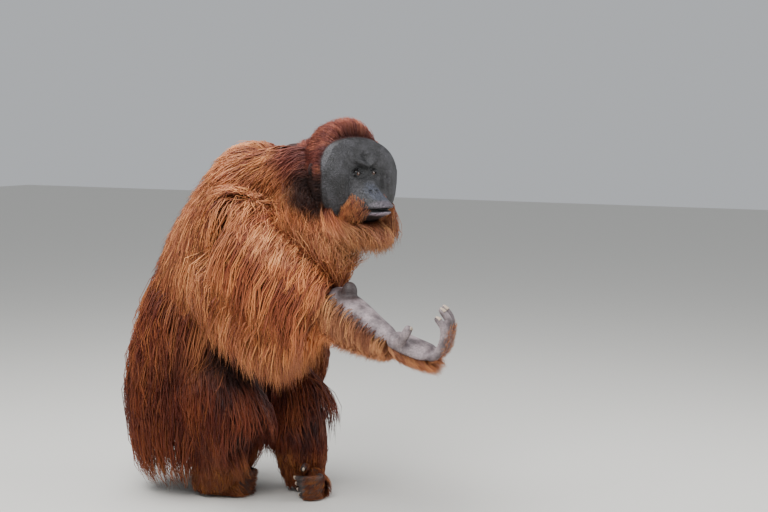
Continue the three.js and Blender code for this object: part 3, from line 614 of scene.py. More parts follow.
def placeMarkings(nodes, links):
    where = nodes.new("ShaderNodeTexCoord")
    node = nodes.new("ShaderNodeGroup")
    node.node_tree = markings
    links.new(where.outputs["Object"], node.inputs[0])
    return where.outputs["Object"], node.outputs[0], node.outputs[1]


# Hair: dark at the roots, paler at the tips, each tuft a little different
def coatMaterial(name, look):
    material, nodes, links = newMaterial(name)
    shader = nodes["Principled BSDF"]
    _, deep, tip = placeMarkings(nodes, links)
    tuft = nodes.new("ShaderNodeAttribute")
    tuft.attribute_name = "tuft"
    parts = nodes.new("ShaderNodeSeparateColor")
    links.new(tuft.outputs["Color"], parts.inputs[0])
    tone, along, lock = parts.outputs[0], parts.outputs[1], parts.outputs[2]
    ramp = rangeNode(nodes, links, along, (look["rootEnd"], look["tipStart"]))
    blend = mathNode(nodes, links, "MULTIPLY", ramp, mathNode(nodes, links, "MULTIPLY_ADD", lock, 0.9))
    bright = rangeNode(nodes, links, tone, to=(look["darkest"], look["brightest"]))
    varied = brightened(nodes, links, bright, mixColour(nodes, links, blend, deep, tip))
    links.new(mathNode(nodes, links, "MULTIPLY_ADD", tone, 0.03, 0.485), varied.inputs["Hue"])
    links.new(varied.outputs[0], shader.inputs["Base Color"])
    gloss = rangeNode(nodes, links, tone, to=(look["roughness"] - 0.08, look["roughness"] + 0.1))
    links.new(gloss, shader.inputs["Roughness"])
    shader.inputs["Specular IOR Level"].default_value = look["shine"]
    return material


# Bare skin: pebbled, creased, in darker and paler patches
def skinMaterial(name, look):
    material, nodes, links = newMaterial(name)
    shader = nodes["Principled BSDF"]
    where = nodes.new("ShaderNodeTexCoord").outputs["Object"]
    blotches = noiseNode(nodes, links, where, look["blotches"], 5)
    cells = nodes.new("ShaderNodeTexVoronoi")
    cells.inputs["Scale"].default_value = look["pebbles"]
    links.new(where, cells.inputs["Vector"])
    fine = noiseNode(nodes, links, where, look["pebbles"] * 0.7, 4)
    patch = rangeNode(nodes, links, blotches.outputs[0], (0.38, 0.64))
    base = mixColour(nodes, links, patch, look["dark"], look["pale"])
    for spot in look["spots"]:
        inside = insideMask(nodes, links, where, tuple(spot["centre"]), spot["size"], (1.3, 0.7))
        base = mixColour(nodes, links, inside, base, spot["colour"])
    grain = rangeNode(nodes, links, fine.outputs[0], (0.36, 0.64), look["grain"])
    links.new(brightened(nodes, links, grain, base).outputs[0], shader.inputs["Base Color"])
    rough = rangeNode(nodes, links, fine.outputs[0], to=(look["roughness"] - 0.08, look["roughness"] + 0.12))
    links.new(rough, shader.inputs["Roughness"])
    height = mathNode(nodes, links, "ADD", cells.outputs["Distance"],
                      mathNode(nodes, links, "MULTIPLY", fine.outputs[0], 0.6))
    bump = nodes.new("ShaderNodeBump")
    bump.inputs["Strength"].default_value = look["bump"]
    bump.inputs["Distance"].default_value = 0.0025
    links.new(height, bump.inputs["Height"])
    links.new(bump.outputs[0], shader.inputs["Normal"])
    return material


# Skin under the coat, in the coat's own markings
def underMaterial():
    material, nodes, links = newMaterial("underCoat")
    shader = nodes["Principled BSDF"]
    where, deep, _ = placeMarkings(nodes, links)
    strands = noiseNode(nodes, links, where, 60, 3)
    dim = rangeNode(nodes, links, strands.outputs[0], to=(0.25, 0.8))
    links.new(brightened(nodes, links, dim, deep).outputs[0], shader.inputs["Base Color"])
    shader.inputs["Roughness"].default_value = 0.9
    return material


def headSpot(local, size, tint):
    return {"centre": toFrame(headPlace(np.array(local, float))), "size": size, "colour": tint}


faceLook = {
    "dark": colour(24, 23, 24), "pale": colour(48, 47, 50), "blotches": 30, "pebbles": 250, "roughness": 0.5,
    "bump": 0.75, "grain": (0.35, 2.0),
    "spots": [
        # painted shade: very dark skin round the eyes, where the sockets lie in shadow
        headSpot((84, 0, 2), (0.06, 0.064, 0.027), colour(15, 15, 17)),
        # painted shade: darker skin in the dent above the brow
        headSpot((110, 0, 50), (0.05, 0.016, 0.016), colour(20, 20, 22)),
        headSpot((150, 0, -60), (0.05, 0.034, 0.042), colour(50, 52, 60)),
        headSpot((190, 0, -92), (0.05, 0.05, 0.012), colour(66, 60, 66)),
        # lower lip: its mauve lip colour, made paler with a painted highlight
        headSpot((190, 0, -121), (0.05, 0.055, 0.0065), colour(116, 104, 114)),
        # painted shade: near-black band inside the open mouth
        headSpot((190, 0, -107), (0.06, 0.052, 0.005), colour(14, 10, 10)),
        headSpot((170, 0, -146), (0.07, 0.06, 0.018), colour(34, 30, 32)),
    ],
}
knobSpot = {"centre": toFrame(np.array(joints["elbowRight"]) + [88, -46, 22]), "size": (0.045, 0.045, 0.05),
            "colour": colour(56, 46, 46)}
handLook = {"dark": colour(84, 74, 76), "pale": colour(146, 132, 134), "blotches": 24, "pebbles": 260,
            "roughness": 0.55, "bump": 0.45, "grain": (0.8, 1.2), "spots": [knobSpot]}
footLook = {"dark": colour(50, 41, 39), "pale": colour(92, 79, 76), "blotches": 26, "pebbles": 260,
            "roughness": 0.6, "bump": 0.45, "grain": (0.75, 1.25), "spots": []}

# How deep the body lies under the hair, in millimetres, and the voxels of each part, in metres
skinSizes = {"underHair": 8.0, "faceVoxel": 0.00305, "handVoxel": 0.0038, "footVoxel": 0.0045,
             "bodyVoxel": 0.016}
lidSizes = {"major": 11, "minor": 4.1, "wide": 1.18, "tall": 0.66, "upper": 1.6, "lower": -0.6, "ahead": 9.5}
bodyForms = [loftForm(trunkLoft, skinSizes["underHair"], 64, 48), loftForm(neckLoft, skinSizes["underHair"])]
bodyForms += [loftForm(limbs[name], skinSizes["underHair"]) for name in limbs
              if not name.startswith("forearm")]
skinBody = remeshed(bodyForms, "skinBody", skinSizes["bodyVoxel"], 6, underMaterial())
print("body under the coat made")

headForm = sphereForm(lambda share, angle: headPlace(headLocal(share, angle)), 320, 240)
lidForms = []
for way in (-1, 1):
    bpy.ops.object.select_all(action="DESELECT")
    bpy.ops.mesh.primitive_torus_add(major_radius=lidSizes["major"], minor_radius=lidSizes["minor"],
                                     major_segments=48, minor_segments=20)
    lid = bpy.context.object
    points = meshPoints(lid.data)
    local = np.stack([points[:, 2], points[:, 0] * lidSizes["wide"], points[:, 1] * lidSizes["tall"]], -1)
    local[:, 0] += np.where(local[:, 2] > 0, lidSizes["upper"], lidSizes["lower"])
    local += np.array([eye["depth"] + lidSizes["ahead"], way * eye["apart"] / 2, eye["height"]])
    movePoints(lid.data, headPlace(local))
    lidForms.append(lid)
earRadii = (ear["thick"], ear["radius"] * 0.66, ear["radius"])
earForms = [headBall((ear["depth"], way * ear["side"], ear["height"]), earRadii) for way in (-1, 1)]
skinHead = remeshed([headForm, *lidForms, *earForms], "skinHead", skinSizes["faceVoxel"], 2,
                    skinMaterial("faceSkin", faceLook))
skinHead.data.materials.append(bpy.data.materials["underCoat"])
centres = np.empty(len(skinHead.data.polygons) * 3)
skinHead.data.polygons.foreach_get("center", centres)
local = (centres.reshape(-1, 3) * 1000 - bodyShift - headCentre) @ headAxes
around = np.arctan2(local[:, 2], local[:, 1])
rim = outline(around, face["side"], face["top"], face["bottom"], face["chinPower"])
behind = local[:, 0] < face["rimDepth"] - 40 - face["slope"] * np.maximum(0, local[:, 2])
beyond = (np.hypot(local[:, 1], local[:, 2]) > 0.985 * rim) | behind
skinHead.data.polygons.foreach_set("material_index", beyond.astype(np.int32))
print("head made")

knobShift = [elbowKnob["ahead"], elbowKnob["aside"], elbowKnob["rise"]]
knobCentre = np.array(joints["elbowRight"], float) + knobShift


def knobPlace(t, angle):
    return knobCentre + unitBall(t, angle) * elbowKnob["radius"] * np.array(elbowKnob["squash"])

armSkins = []
handMaterial = skinMaterial("handSkin", handLook)
for side in ("Right", "Left"):
    palm, fingers = hands[side]
    forms = [loftForm(limbs["forearm" + side], 4.0), loftForm(palm)]
    forms += [loftForm(finger, 0, 24, 40) for finger in fingers]
    if side == "Right":
        forms.append(sphereForm(knobPlace, 40, 28))
    voxel = skinSizes["handVoxel"] * (1 if side == "Right" else 1.5)
    armSkins.append(remeshed(forms, "skinArm" + side, voxel, 4, handMaterial))
footMaterial = skinMaterial("footSkin", footLook)
for side, spot in feet.items():
    sole, toes = footLofts(spot)
    spot["sole"], spot["toes"] = sole, toes
    forms = [loftForm(sole), *[loftForm(toe, 0, 24, 32) for toe in toes]]
    armSkins.append(remeshed(forms, "skinFoot" + side, skinSizes["footVoxel"], 3, footMaterial))
skin = joinForms([skinBody, skinHead, *armSkins], "skin")
points = meshPoints(skin.data)
points[:, 2] = np.maximum(points[:, 2], 0)
skin.data.vertices.foreach_set("co", points.ravel())
skin.data.update()
fleshNodes = [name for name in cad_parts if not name.startswith("eye")]
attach(skin, "root")
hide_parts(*fleshNodes)
print("skin made:", len(skin.data.polygons), "faces")


# The coat; hair may pass the solids' box by a share of each side and some metres, and stays off the floor
boxLow, boxHigh = np.array(cadBox[0]), np.array(cadBox[1])
room = {"share": 0.027, "extra": 0.008, "floor": 2.0}
hairRoom = [(corner + way * (room["share"] * (boxHigh - boxLow) + room["extra"])) * 1000 - bodyShift
            for corner, way in ((boxLow, -1), (boxHigh, 1))]
hairRoom[0][2] = room["floor"]

def growTufts(surface, loft, t, angle, coat, draw, obstacles):
    point, normal, tangent = surface(loft, t, angle)
    count = len(t)
    lie = coat["lie"](tangent, normal, t)
    lie = lie + np.cross(tangent, normal) * (coat.get("fan", 0.12) * draw.uniform(-1, 1, count))[:, None]
    lie = unit(lie - normal * (lie * normal).sum(-1, keepdims=True))
    length = coat["length"](t, normal) * draw.uniform(0.8, 1.12, count)
    rise = coat["rise"] * draw.uniform(0.15, 1, count)
    lift = coat["lift"] * draw.uniform(0.6, 1.4, count)
    steps = coat["steps"]
    path = [point - normal * coat["sink"]]
    place = point
    down = np.array([0, 0, -1.0])
    for k in range(1, steps + 1):
        share = k / steps
        way = lie * (1 - coat["droop"] * share) + down * coat["droop"] * share
        way = way + normal * (lift * (1.4 - coat.get("liftFall", 2.2) * share))[:, None]
        place = place + unit(way) * (length / steps)[:, None]
        for obstacle in obstacles:
            clear = rise * share
            place = clearHead(place, clear) if obstacle == "head" else pushOut(obstacle, place, clear)
        place[:, 2] = np.maximum(place[:, 2], coat.get("floor", 12) * draw.uniform(0.8, 2.0, count))
        path.append(place)
    return np.stack(path, 1), normal, length


def spreadPlaces(coat, count, draw):
    rows = max(1, int(math.sqrt(count * coat.get("aspect", 1.0))))
    cells = int(math.ceil(count / rows))
    grid = np.stack(np.meshgrid(np.arange(rows), np.arange(cells), indexing="ij"), -1).reshape(-1, 2)
    t = (grid[:, 0] + draw.uniform(0, 1, len(grid))) / rows
    around = (grid[:, 1] + draw.uniform(0, 1, len(grid))) / cells
    t = mix(coat["from"], coat["to"], t)
    angle = np.radians(mix(coat["angles"][0], coat["angles"][1], around))
    return t, angle


# Tufts drawn together into locks, as three-sided tapered blades with their own small patch of the map
def coatPaths(surface, loft, coat, seed, obstacles):
    draw = np.random.default_rng(seed)
    t, angle = spreadPlaces(coat, coat["count"], draw)
    if "keep" in coat:
        kept = coat["keep"](t, angle, draw)
        t, angle = t[kept], angle[kept]
    paths, normals, lengths = growTufts(surface, loft, t, angle, coat, draw, obstacles)
    lockT, lockAngle = spreadPlaces(coat, max(4, coat["count"] // coat["perLock"]), draw)
    if "keep" in coat:
        kept = coat["keep"](lockT, lockAngle, draw)
        lockT, lockAngle = lockT[kept], lockAngle[kept]
    lockPaths, _, _ = growTufts(surface, loft, lockT, lockAngle, coat, draw, obstacles)
    roots, lockRoots = surface(loft, t, angle)[0], surface(loft, lockT, lockAngle)[0]
    nearest = np.concatenate([
        ((part[:, None, :] - lockRoots[None]) ** 2).sum(-1).argmin(1)
        for part in np.array_split(roots, max(1, len(roots) // 2000))
    ])
    shares = np.linspace(0, 1, coat["steps"] + 1)
    pull = coat["clump"] * shares**1.3
    stray = draw.uniform(0, 1, len(t)) < coat.get("stray", 0.12)
    pull = pull[None, :] * np.where(stray, 0.15, 1)[:, None]
    paths = paths + (lockPaths[nearest] - paths) * pull[..., None]
    phase = draw.uniform(0, 2 * math.pi, (len(t), 2))
    lockPhase = draw.uniform(0, 2 * math.pi, (len(lockT), 2))[nearest]
    side = unit(np.cross(paths[:, -1] - paths[:, 0], normals))
    wave = np.sin(shares[None, :] * coat.get("turns", 7) + lockPhase[:, :1]) * coat["curl"] * shares[None, :]
    wave = wave + np.sin(shares[None, :] * 11 + phase[:, :1]) * coat["curl"] * 0.45 * shares[None, :]
    paths = paths + side[:, None, :] * wave[..., None]
    paths = paths + draw.normal(0, coat.get("frizz", 0.0), paths.shape) * shares[None, :, None]
    paths = np.clip(paths, hairRoom[0], hairRoom[1])
    lockTone = draw.uniform(0, 1, len(lockT))[nearest]
    tone = np.clip(0.6 * lockTone + 0.4 * draw.uniform(0, 1, len(t)), 0, 1)
    u = (angle - angle.min()) / max(np.ptp(angle), 1e-6)
    v = (t - t.min()) / max(np.ptp(t), 1e-6)
    return {"paths": paths, "normals": normals, "tone": tone, "lock": lockTone, "u": u, "v": v,
            "radius": coat["radius"] * draw.uniform(0.7, 1.2, len(t))}


tuftTaper = {"long": (0.75, 1.0, 0.9, 0.7, 0.45, 0.3), "short": (0.8, 1.0, 0.6)}
mapLook = {"edge": 0.01, "patch": 0.003, "fill": 0.98}


def tuftPiece(name, groups, material):
    points, triangles, quads, uvs, colours = [], [], [], [], []
    start = 0
    for place, group in enumerate(groups):
        paths, normals = group["paths"], group["normals"]
        count, rings = len(paths), paths.shape[1] - 1
        along = unit(np.concatenate([paths[:, 1:2] - paths[:, :1], paths[:, 2:] - paths[:, :-2]], 1))
        side = unit(np.cross(along, normals[:, None, :]))
        out = np.cross(side, along)
        taper = np.array(tuftTaper["long"][:rings] if rings > 3 else tuftTaper["short"][:rings])
        width = group["radius"][:, None] * taper[None, :]
        ring = []
        for corner in range(3):
            turn = math.radians(90 + 120 * corner)
            offset = side * (math.cos(turn) * width)[..., None]
            offset = offset + out * (0.7 * math.sin(turn) * width)[..., None]
            ring.append(paths[:, :-1] + offset)
        body = np.stack(ring, 2).reshape(count, rings * 3, 3)
        points.append(np.concatenate([body, paths[:, -1:]], 1).reshape(-1, 3))
        size = rings * 3 + 1
        base = start + np.arange(count)[:, None] * size
        quad, tri = [], [[0, 2, 1]]
        for k in range(rings - 1):
            for corner in range(3):
                a, b = k * 3 + corner, k * 3 + (corner + 1) % 3
                quad.append([a, b, b + 3, a + 3])
        for corner in range(3):
            tri.append([(rings - 1) * 3 + corner, (rings - 1) * 3 + (corner + 1) % 3, rings * 3])
        quad, tri = np.array(quad), np.array(tri)
        quads.append((base[:, None] + quad[None]).reshape(-1, 4))
        triangles.append((base[:, None] + tri[None]).reshape(-1, 3))
        rows = np.concatenate([np.repeat(np.arange(rings), 3), [rings]]) / rings
        cols = np.concatenate([np.tile([0, 0.5, 1.0], rings), [0.5]])
        edge, patch, filled = mapLook["edge"], mapLook["patch"], mapLook["fill"]
        width = filled / len(groups)
        u = edge + width * (place + filled * group["u"])[:, None] + (cols[None] - 0.5) * patch
        v = edge + filled * group["v"][:, None] + (rows[None] - 0.5) * patch
        uvs.append(np.stack([u, v], -1).reshape(-1, 2))
        shade = np.stack([np.repeat(group["tone"][:, None], size, 1), np.repeat(rows[None], count, 0),
                          np.repeat(group["lock"][:, None], size, 1), np.ones((count, size))], -1)
        colours.append(shade.reshape(-1, 4))
        start += count * size
    points, quads, triangles = np.concatenate(points), np.concatenate(quads), np.concatenate(triangles)
    uvs, colours = np.clip(np.concatenate(uvs), 0, 1), np.concatenate(colours)
    corners = np.concatenate([quads.ravel(), triangles.ravel()])
    starts = np.concatenate([np.arange(len(quads)) * 4, len(quads) * 4 + np.arange(len(triangles)) * 3])
    mesh = bpy.data.meshes.new(name)
    mesh.vertices.add(len(points))
    mesh.vertices.foreach_set("co", toFrame(points).ravel())
    mesh.loops.add(len(corners))
    mesh.loops.foreach_set("vertex_index", corners.astype(np.int32))
    mesh.polygons.add(len(starts))
    mesh.polygons.foreach_set("loop_start", starts.astype(np.int32))
    mesh.update(calc_edges=True)
    mesh.polygons.foreach_set("use_smooth", np.ones(len(starts), bool))
    uvMap = mesh.uv_layers.new(name="OFBake")
    uvMap.data.foreach_set("uv", uvs[corners].ravel())
    tuft = mesh.color_attributes.new(name="tuft", type="FLOAT_COLOR", domain="POINT")
    tuft.data.foreach_set("color", colours.ravel())
    mesh.materials.append(material)
    piece = bpy.data.objects.new(name, mesh)
    bpy.context.scene.collection.objects.link(piece)
    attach(piece, "root")
    print(name, "made:", 2 * len(quads) + len(triangles), "triangles")
    return piece


def lieAlong(along, fall):
    return lambda tangent, normal, t: tangent * along + np.array([0, 0, -fall])


# A length of hair, or one that changes from a share of the way along over the next width
def hairLength(first, last=None, start=0.0, width=1.0):
    end = first if last is None else last
    return lambda t, n: mix(first, end, np.clip((t - start) / width, 0, 1))


def limbHair(name, coat, seed, *others):
    return coatPaths(loftSurface, limbs[name], coat, seed, [limbs[name], *others])


longLook = {"rootEnd": 0.0, "tipStart": 0.85, "darkest": 0.6, "brightest": 1.35, "roughness": 0.5,
            "shine": 0.35}
coatLook = coatMaterial("coatHair", longLook)
beardLook = coatMaterial("beardHair", {**longLook, "darkest": 0.75, "brightest": 1.3})
shortLook = coatMaterial("shortHair", {**longLook, "roughness": 0.6, "brightest": 1.2})

# Millimetres and shares: lift raises a tuft off the skin, droop lets it hang, clump draws it into its lock
longCoat = {
    "count": 6900, "perLock": 18, "steps": 4, "sink": 8, "lift": 0.26, "droop": 0.5, "rise": 46, "clump": 0.5,
    "curl": 9, "frizz": 4.5, "fan": 0.3, "radius": 2.0, "aspect": 0.5, "stray": 0.22,
    "lie": lieAlong(-1, 0.4),
}
coats = {
    "coat_shoulders": {**longCoat, "from": 0.66, "to": 0.97, "angles": (20, 340),
                       "length": hairLength(230, 150, 0.66, 0.3)},
    "coat_back": {**longCoat, "from": 0.4, "to": 0.7, "angles": (10, 350), "length": hairLength(250)},
    "coat_rump": {**longCoat, "count": 7400, "from": 0.04, "to": 0.42, "angles": (0, 360), "lift": 0.62,
                  "droop": 0.62, "length": hairLength(380, 285, 0.0, 0.42)},
}
armsNear = [limbs["upperArmRight"], limbs["upperArmLeft"]]
for index, (name, coat) in enumerate(coats.items()):
    blocks = [trunkLoft] + (armsNear if name != "coat_rump" else [limbs["thighRight"], limbs["thighLeft"]])
    tuftPiece(name, [coatPaths(loftSurface, trunkLoft, coat, 100 + index, blocks)], coatLook)

armCoat = {
    **longCoat, "count": 8200, "from": 0.08, "to": 0.96, "angles": (-210, 125), "droop": 0.95, "lift": 0.3,
    "rise": 30, "lie": lieAlong(-0.5, 0.7), "length": lambda t, n: np.where(n[:, 2] > 0.4, 150, 285),
    "aspect": 0.6, "curl": 11,
}
wispCoat = {
    **armCoat, "count": 2600, "steps": 5, "from": 0.36, "to": 1.0, "angles": (40, 150), "droop": 0.1,
    "lift": 1.3, "liftFall": 0.7, "rise": 0, "lie": lieAlong(0.1, -0.5), "length": hairLength(165), "curl": 22, "turns": 9,
    "radius": 1.1, "clump": 0.35, "perLock": 9, "fan": 0.6,
}
for name, coat, seed in (("coat_arm_right", armCoat, 201), ("coat_wisps", wispCoat, 202)):
    tuftPiece(name, [limbHair("upperArmRight", coat, seed, trunkLoft)], coatLook)


# The forearm's upper side is nearly bare
def foreRoots(t, angle, draw):
    turned = np.degrees(angle)
    edge = 44 - 30 * t
    return draw.uniform(0, 1, len(t)) < np.clip((edge - turned) / 62, 0, 1) ** 2


leftCoat = {
    **longCoat, "count": 2900, "from": 0.05, "to": 0.97, "angles": (-180, 180), "length": hairLength(200),
    "lie": lieAlong(0.6, 0.5), "rise": 28, "lift": 0.3, "aspect": 0.8,
}
foreCoatRight = {
    **longCoat, "count": 7600, "steps": 3, "from": 0.04, "to": 0.97, "angles": (-190, 50),
    "length": hairLength(92, 60), "lie": lieAlong(-0.2, 0.8), "droop": 0.5, "rise": 12, "lift": 0.55,
    "curl": 5, "radius": 1.1, "sink": 5, "frizz": 3, "perLock": 12, "clump": 0.4, "stray": 0.3, "keep": foreRoots,
}
foreCoatLeft = {
    **longCoat, "count": 1700, "from": 0.03, "to": 0.88, "angles": (-180, 180), "length": hairLength(170, 90),
    "lie": lieAlong(0.6, 0.4), "droop": 0.5, "rise": 20,
}
tuftPiece("coat_arm_left", [
    limbHair("upperArmLeft", leftCoat, 203, trunkLoft), limbHair("forearmLeft", foreCoatLeft, 204),
], coatLook)
tuftPiece("coat_forearm_right", [limbHair("forearmRight", foreCoatRight, 205)], coatLook)

legCoat = {
    **longCoat, "count": 3100, "from": 0.2, "to": 0.96, "angles": (-180, 180), "droop": 0.75, "lift": 0.3,
    "rise": 30, "lie": lieAlong(0.12, 0.9), "length": hairLength(210),
}
shinCoat = {**legCoat, "count": 2400, "from": 0.05, "to": 0.9, "length": hairLength(180, 110), "rise": 20}
for part, coat, seed in (("thigh", legCoat, 210), ("shin", shinCoat, 220)):
    groups = [limbHair(part + side, coat, seed + k) for k, side in enumerate(("Right", "Left"))]
    tuftPiece("coat_" + part + "s", groups, coatLook)


# Neck, crown and nape; the crown's hair is combed back from the disc
def sweepBack(tangent, normal, t):
    return tangent * 0.7 - headAxes[:, 0] * 0.9 + np.array([0, 0, -0.15])


neckCoat = {
    **longCoat, "count": 2800, "from": 0.1, "to": 0.8, "angles": (-60, 240), "length": hairLength(130),
    "droop": 0.5, "lie": lieAlong(-1, 0.5), "rise": 26, "lift": 0.3, "curl": 5, "radius": 1.9,
}
crownCoat = {
    **longCoat, "count": 8200, "steps": 3, "from": 0.635, "to": 0.985, "angles": (-42, 222), "droop": 0.12,
    "lie": sweepBack, "length": hairLength(54, 92, 0.66, 0.2), "rise": 6, "lift": 0.05, "curl": 2,
    "radius": 1.2, "sink": 4, "perLock": 14, "clump": 0.4,
}
neckHair = coatPaths(loftSurface, neckLoft, neckCoat, 231, [neckLoft, trunkLoft])
tuftPiece("coat_neck", [neckHair], shortLook)
crownHair = coatPaths(headSurface, None, crownCoat, 232, ["head", neckLoft, trunkLoft])
tuftPiece("coat_crown", [crownHair], shortLook)


# Beard under the chin and behind the rim, whiskers on the slopes beside the muzzle
def beardRoots(share, angle, draw):
    local = headLocal(share, angle, 0)
    wide, z = np.abs(local[:, 1]), local[:, 2]
    return ((share > 0.60) & (z < -100)) | ((share > 0.69) & (z < -88)) | ((z < -152) & (wide < 70))


def whiskerRoots(share, angle, draw):
    local = headLocal(share, angle, 0)
    wide, z = np.abs(local[:, 1]), local[:, 2]
    slope = np.clip((wide - 40) / 18, 0, 1) * np.clip((98 - wide) / 18, 0, 1)
    slope = slope * np.clip((-40 - 0.8 * (wide - 45) - z) / 20, 0, 1)
    return (draw.uniform(0, 1, len(share)) < slope) & (z > -172)


beardCoat = {
    **longCoat, "count": 6400, "from": 0.58, "to": 0.86, "angles": (-190, 10), "keep": beardRoots,
    "droop": 0.75, "lie": lambda tangent, normal, t: normal * 0.3 + headAxes[:, 0] * 0.8 + np.array([0, 0, -0.9]), "rise": 4,
    "lift": 0.4, "length": hairLength(142, 100, 0.6, 0.2), "curl": 6, "radius": 1.2, "perLock": 14, "sink": 5,
}
whiskerCoat = {
    **beardCoat, "count": 13000, "steps": 3, "from": 0.2, "to": 0.62, "keep": whiskerRoots, "droop": 0.6,
    "lift": 0.42, "lie": lambda tangent, normal, t: tangent * 0.75 + np.array([0, 0, -0.75]), "curl": 3,
    "radius": 0.62, "perLock": 7, "clump": 0.3, "frizz": 1.5, "length": hairLength(22, 62, 0.3, 0.3),
}
beardHair = [coatPaths(headSurface, None, coat, 241 + k, [])
             for k, coat in enumerate((beardCoat, whiskerCoat))]
tuftPiece("beard", beardHair, beardLook)

# Short hair over the feet and the backs of the hands
footCoat = {
    **longCoat, "count": 1900, "from": 0.02, "to": 0.92, "angles": (-180, 180), "length": hairLength(66),
    "droop": 0.3, "frizz": 2.5, "lie": lieAlong(0.8, 0.4), "rise": 5, "lift": 0.3, "curl": 3, "radius": 1.3,
    "steps": 3, "sink": 4, "floor": 4,
}
toeCoat = {**footCoat, "count": 150, "from": 0.05, "to": 0.62, "length": hairLength(26), "radius": 0.8,
           "sink": 2, "frizz": 2}
footGroups = [coatPaths(loftSurface, spot["sole"], footCoat, 250 + k, [spot["sole"]])
              for k, spot in enumerate(feet.values())]
for place, (way, spot) in enumerate(zip((-1, 1), feet.values())):
    toeAngles = {"angles": (way * 90 - 85, way * 90 + 85)}
    for k, toe in enumerate(spot["toes"]):
        footGroups.append(coatPaths(loftSurface, toe, {**toeCoat, **toeAngles}, 290 + 10 * place + k, []))
tuftPiece("foot_hair", footGroups, shortLook)
handCoat = {**footCoat, "count": 1500, "from": 0.04, "to": 0.94, "length": hairLength(58), "radius": 1.0,
            "rise": 8, "lift": 0.5, "liftFall": 1.4, "curl": 6, "frizz": 4, "perLock": 5}
fingerCoat = {**handCoat, "count": 170, "from": 0.06, "to": 0.66, "length": hairLength(15), "radius": 0.5,
              "sink": 2, "curl": 2, "frizz": 1.5}
# What carries the hair, its coat, the angles of its back, and its seed
handRows = [(hands["Right"][0], handCoat, (-160, -20), 261), (hands["Left"][0], handCoat, (20, 160), 262)]
handRows += [(finger, fingerCoat, (-150, -30), 270 + k) for k, finger in enumerate(hands["Right"][1][1:])]
handRows += [(finger, fingerCoat, (15, 165), 280 + k) for k, finger in enumerate(hands["Left"][1])]
tuftPiece("hand_hair", [
    coatPaths(loftSurface, loft, {**coat, "angles": angles}, seed, [])
    for loft, coat, angles, seed in handRows
], shortLook)


# Eyes: dark pupil, brown iris, dark white, by the distance in metres from the pupil's middle
irisReach = 0.0115
irisStops = ((0.24, (0.002, 0.002, 0.002, 1)), (0.3, colour(92, 54, 26)), (0.5, colour(64, 34, 16)),
             (0.62, colour(24, 15, 11)))


def eyeMaterial(side, centre):
    material, nodes, links = newMaterial("eye" + side)
    shader = nodes["Principled BSDF"]
    where = nodes.new("ShaderNodeTexCoord").outputs["Object"]
    far = vectorNode(nodes, links, "DISTANCE", where, tuple(centre))
    fibres = noiseNode(nodes, links, where, 900)
    wobble = mathNode(nodes, links, "MULTIPLY_ADD", fibres.outputs[0], 0.0012, far)
    ramp = nodes.new("ShaderNodeValToRGB")
    first, last = ramp.color_ramp.elements
    first.position, first.color = 0.0, (0.002, 0.002, 0.002, 1)
    last.position, last.color = 1.0, colour(22, 15, 12)
    for position, tint in irisStops:
        ramp.color_ramp.elements.new(position).color = tint
    links.new(mathNode(nodes, links, "DIVIDE", wobble, irisReach), ramp.inputs[0])
    links.new(ramp.outputs[0], shader.inputs["Base Color"])
    shader.inputs["Roughness"].default_value = 0.22
    shader.inputs["Coat Weight"].default_value = 0.35
    return material


gaze = {"Right": -1, "Left": 1}
for side, way in gaze.items():
    centre = np.array([eye["depth"], way * eye["apart"] / 2, eye["height"]], float)
    ball = headBall(centre, (eye["radius"],) * 3, 48, 32)
    ball.name = ball.data.name = "eyeball" + side
    bpy.ops.object.shade_smooth()
    pupil = toFrame(headPlace(centre + np.array([eye["radius"], 0, 0])))
    ball.data.materials.append(eyeMaterial(side, pupil))
    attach(ball, "root")
    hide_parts("eye_" + side.lower())
print("eyes made")


def nailMaterial():
    material, nodes, links = newMaterial("nailHorn")
    shader = nodes["Principled BSDF"]
    ridges = noiseNode(nodes, links, nodes.new("ShaderNodeTexCoord").outputs["Object"], 420)
    tint = mixColour(nodes, links, ridges.outputs[0], colour(140, 118, 100), colour(206, 188, 168))
    links.new(tint, shader.inputs["Base Color"])
    shader.inputs["Roughness"].default_value = 0.35
    return material


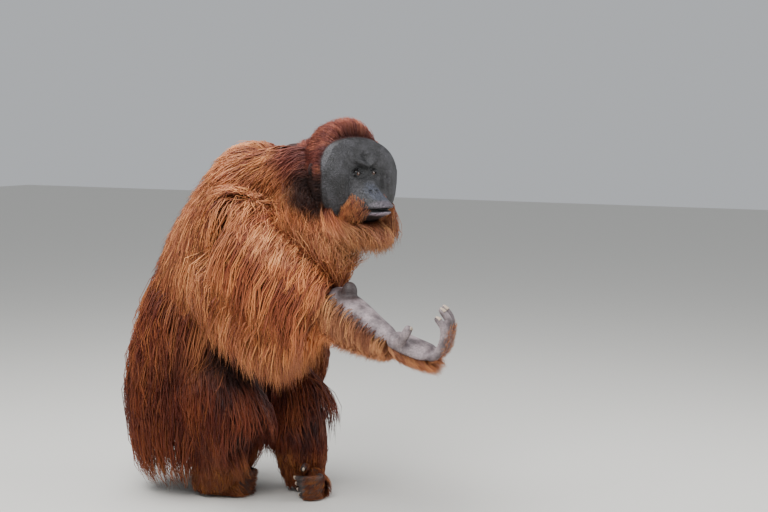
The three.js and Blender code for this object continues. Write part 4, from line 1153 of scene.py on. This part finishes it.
nailLook = {"from": 0.885, "to": 0.985, "halfAngle": 52, "lift": 0.9, "thick": 0.0009}
nails = []
allDigits = [(loft, -90) for loft in hands["Right"][1]] + [(loft, 90) for loft in hands["Left"][1]]
allDigits += [(loft, -90) for loft in feet["Right"]["toes"]] + [(loft, 90) for loft in feet["Left"]["toes"]]
for loft, dorsal in allDigits:
    bpy.ops.object.select_all(action="DESELECT")
    bpy.ops.mesh.primitive_grid_add(x_subdivisions=10, y_subdivisions=8, size=2)
    nail = bpy.context.object
    points = meshPoints(nail.data)
    t = mix(nailLook["from"], nailLook["to"], (points[:, 1] + 1) / 2)
    angle = np.radians(dorsal + nailLook["halfAngle"] * points[:, 0])
    movePoints(nail.data, loftSurface(loft, t, angle, nailLook["lift"])[0])
    nails.append(nail)
nailPiece = joinForms(nails, "nails")
solidify = nailPiece.modifiers.new("Solidify", "SOLIDIFY")
solidify.thickness, solidify.offset = nailLook["thick"], 0
bpy.ops.object.modifier_apply(modifier=solidify.name)
bpy.ops.object.mode_set(mode="EDIT")
bpy.ops.mesh.select_all(action="SELECT")
bpy.ops.mesh.normals_make_consistent(inside=False)
bpy.ops.object.mode_set(mode="OBJECT")
bpy.ops.object.shade_smooth()
nailPiece.data.materials.append(nailMaterial())
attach(nailPiece, "root")
print("nails made")

# Floor and light
studio = {"floor": colour(214, 212, 206), "world": (0.9, 0.93, 0.97, 1), "worldStrength": 0.55}
bpy.ops.object.select_all(action="DESELECT")
bpy.ops.mesh.primitive_plane_add(size=30, location=(0, 0, -0.001))
floor = bpy.context.object
floor.name = "floor"
floorMaterial, floorNodes, floorLinks = newMaterial("floorPale")
floorNodes["Principled BSDF"].inputs["Base Color"].default_value = studio["floor"]
floorNodes["Principled BSDF"].inputs["Roughness"].default_value = 0.8
floor.data.materials.append(floorMaterial)
world = bpy.data.worlds.new("studioWorld")
world.use_nodes = True
world.node_tree.nodes["Background"].inputs[0].default_value = studio["world"]
world.node_tree.nodes["Background"].inputs[1].default_value = studio["worldStrength"]
bpy.context.scene.world = world
lamps = {
    "key": {"place": (1.2, -3.0, 3.8), "aim": (0.1, 0.0, 0.8), "size": 2.2, "power": 190},
    "top": {"place": (-0.6, -0.4, 3.6), "aim": (0.1, 0.0, 0.7), "size": 2.6, "power": 130},
    "side": {"place": (3.2, 1.4, 1.8), "aim": (0.4, 0.0, 0.9), "size": 2.0, "power": 60},
}
for name, lamp in lamps.items():
    bpy.ops.object.light_add(type="AREA", location=lamp["place"])
    light = bpy.context.object
    light.name = name + "Light"
    way = np.array(lamp["aim"]) - np.array(lamp["place"])
    flat = math.hypot(way[0], way[1])
    light.rotation_euler = (math.pi / 2 + math.atan2(way[2], flat), 0,
                            math.atan2(way[1], way[0]) - math.pi / 2)
    light.data.size, light.data.energy = lamp["size"], lamp["power"]
print("studio made")

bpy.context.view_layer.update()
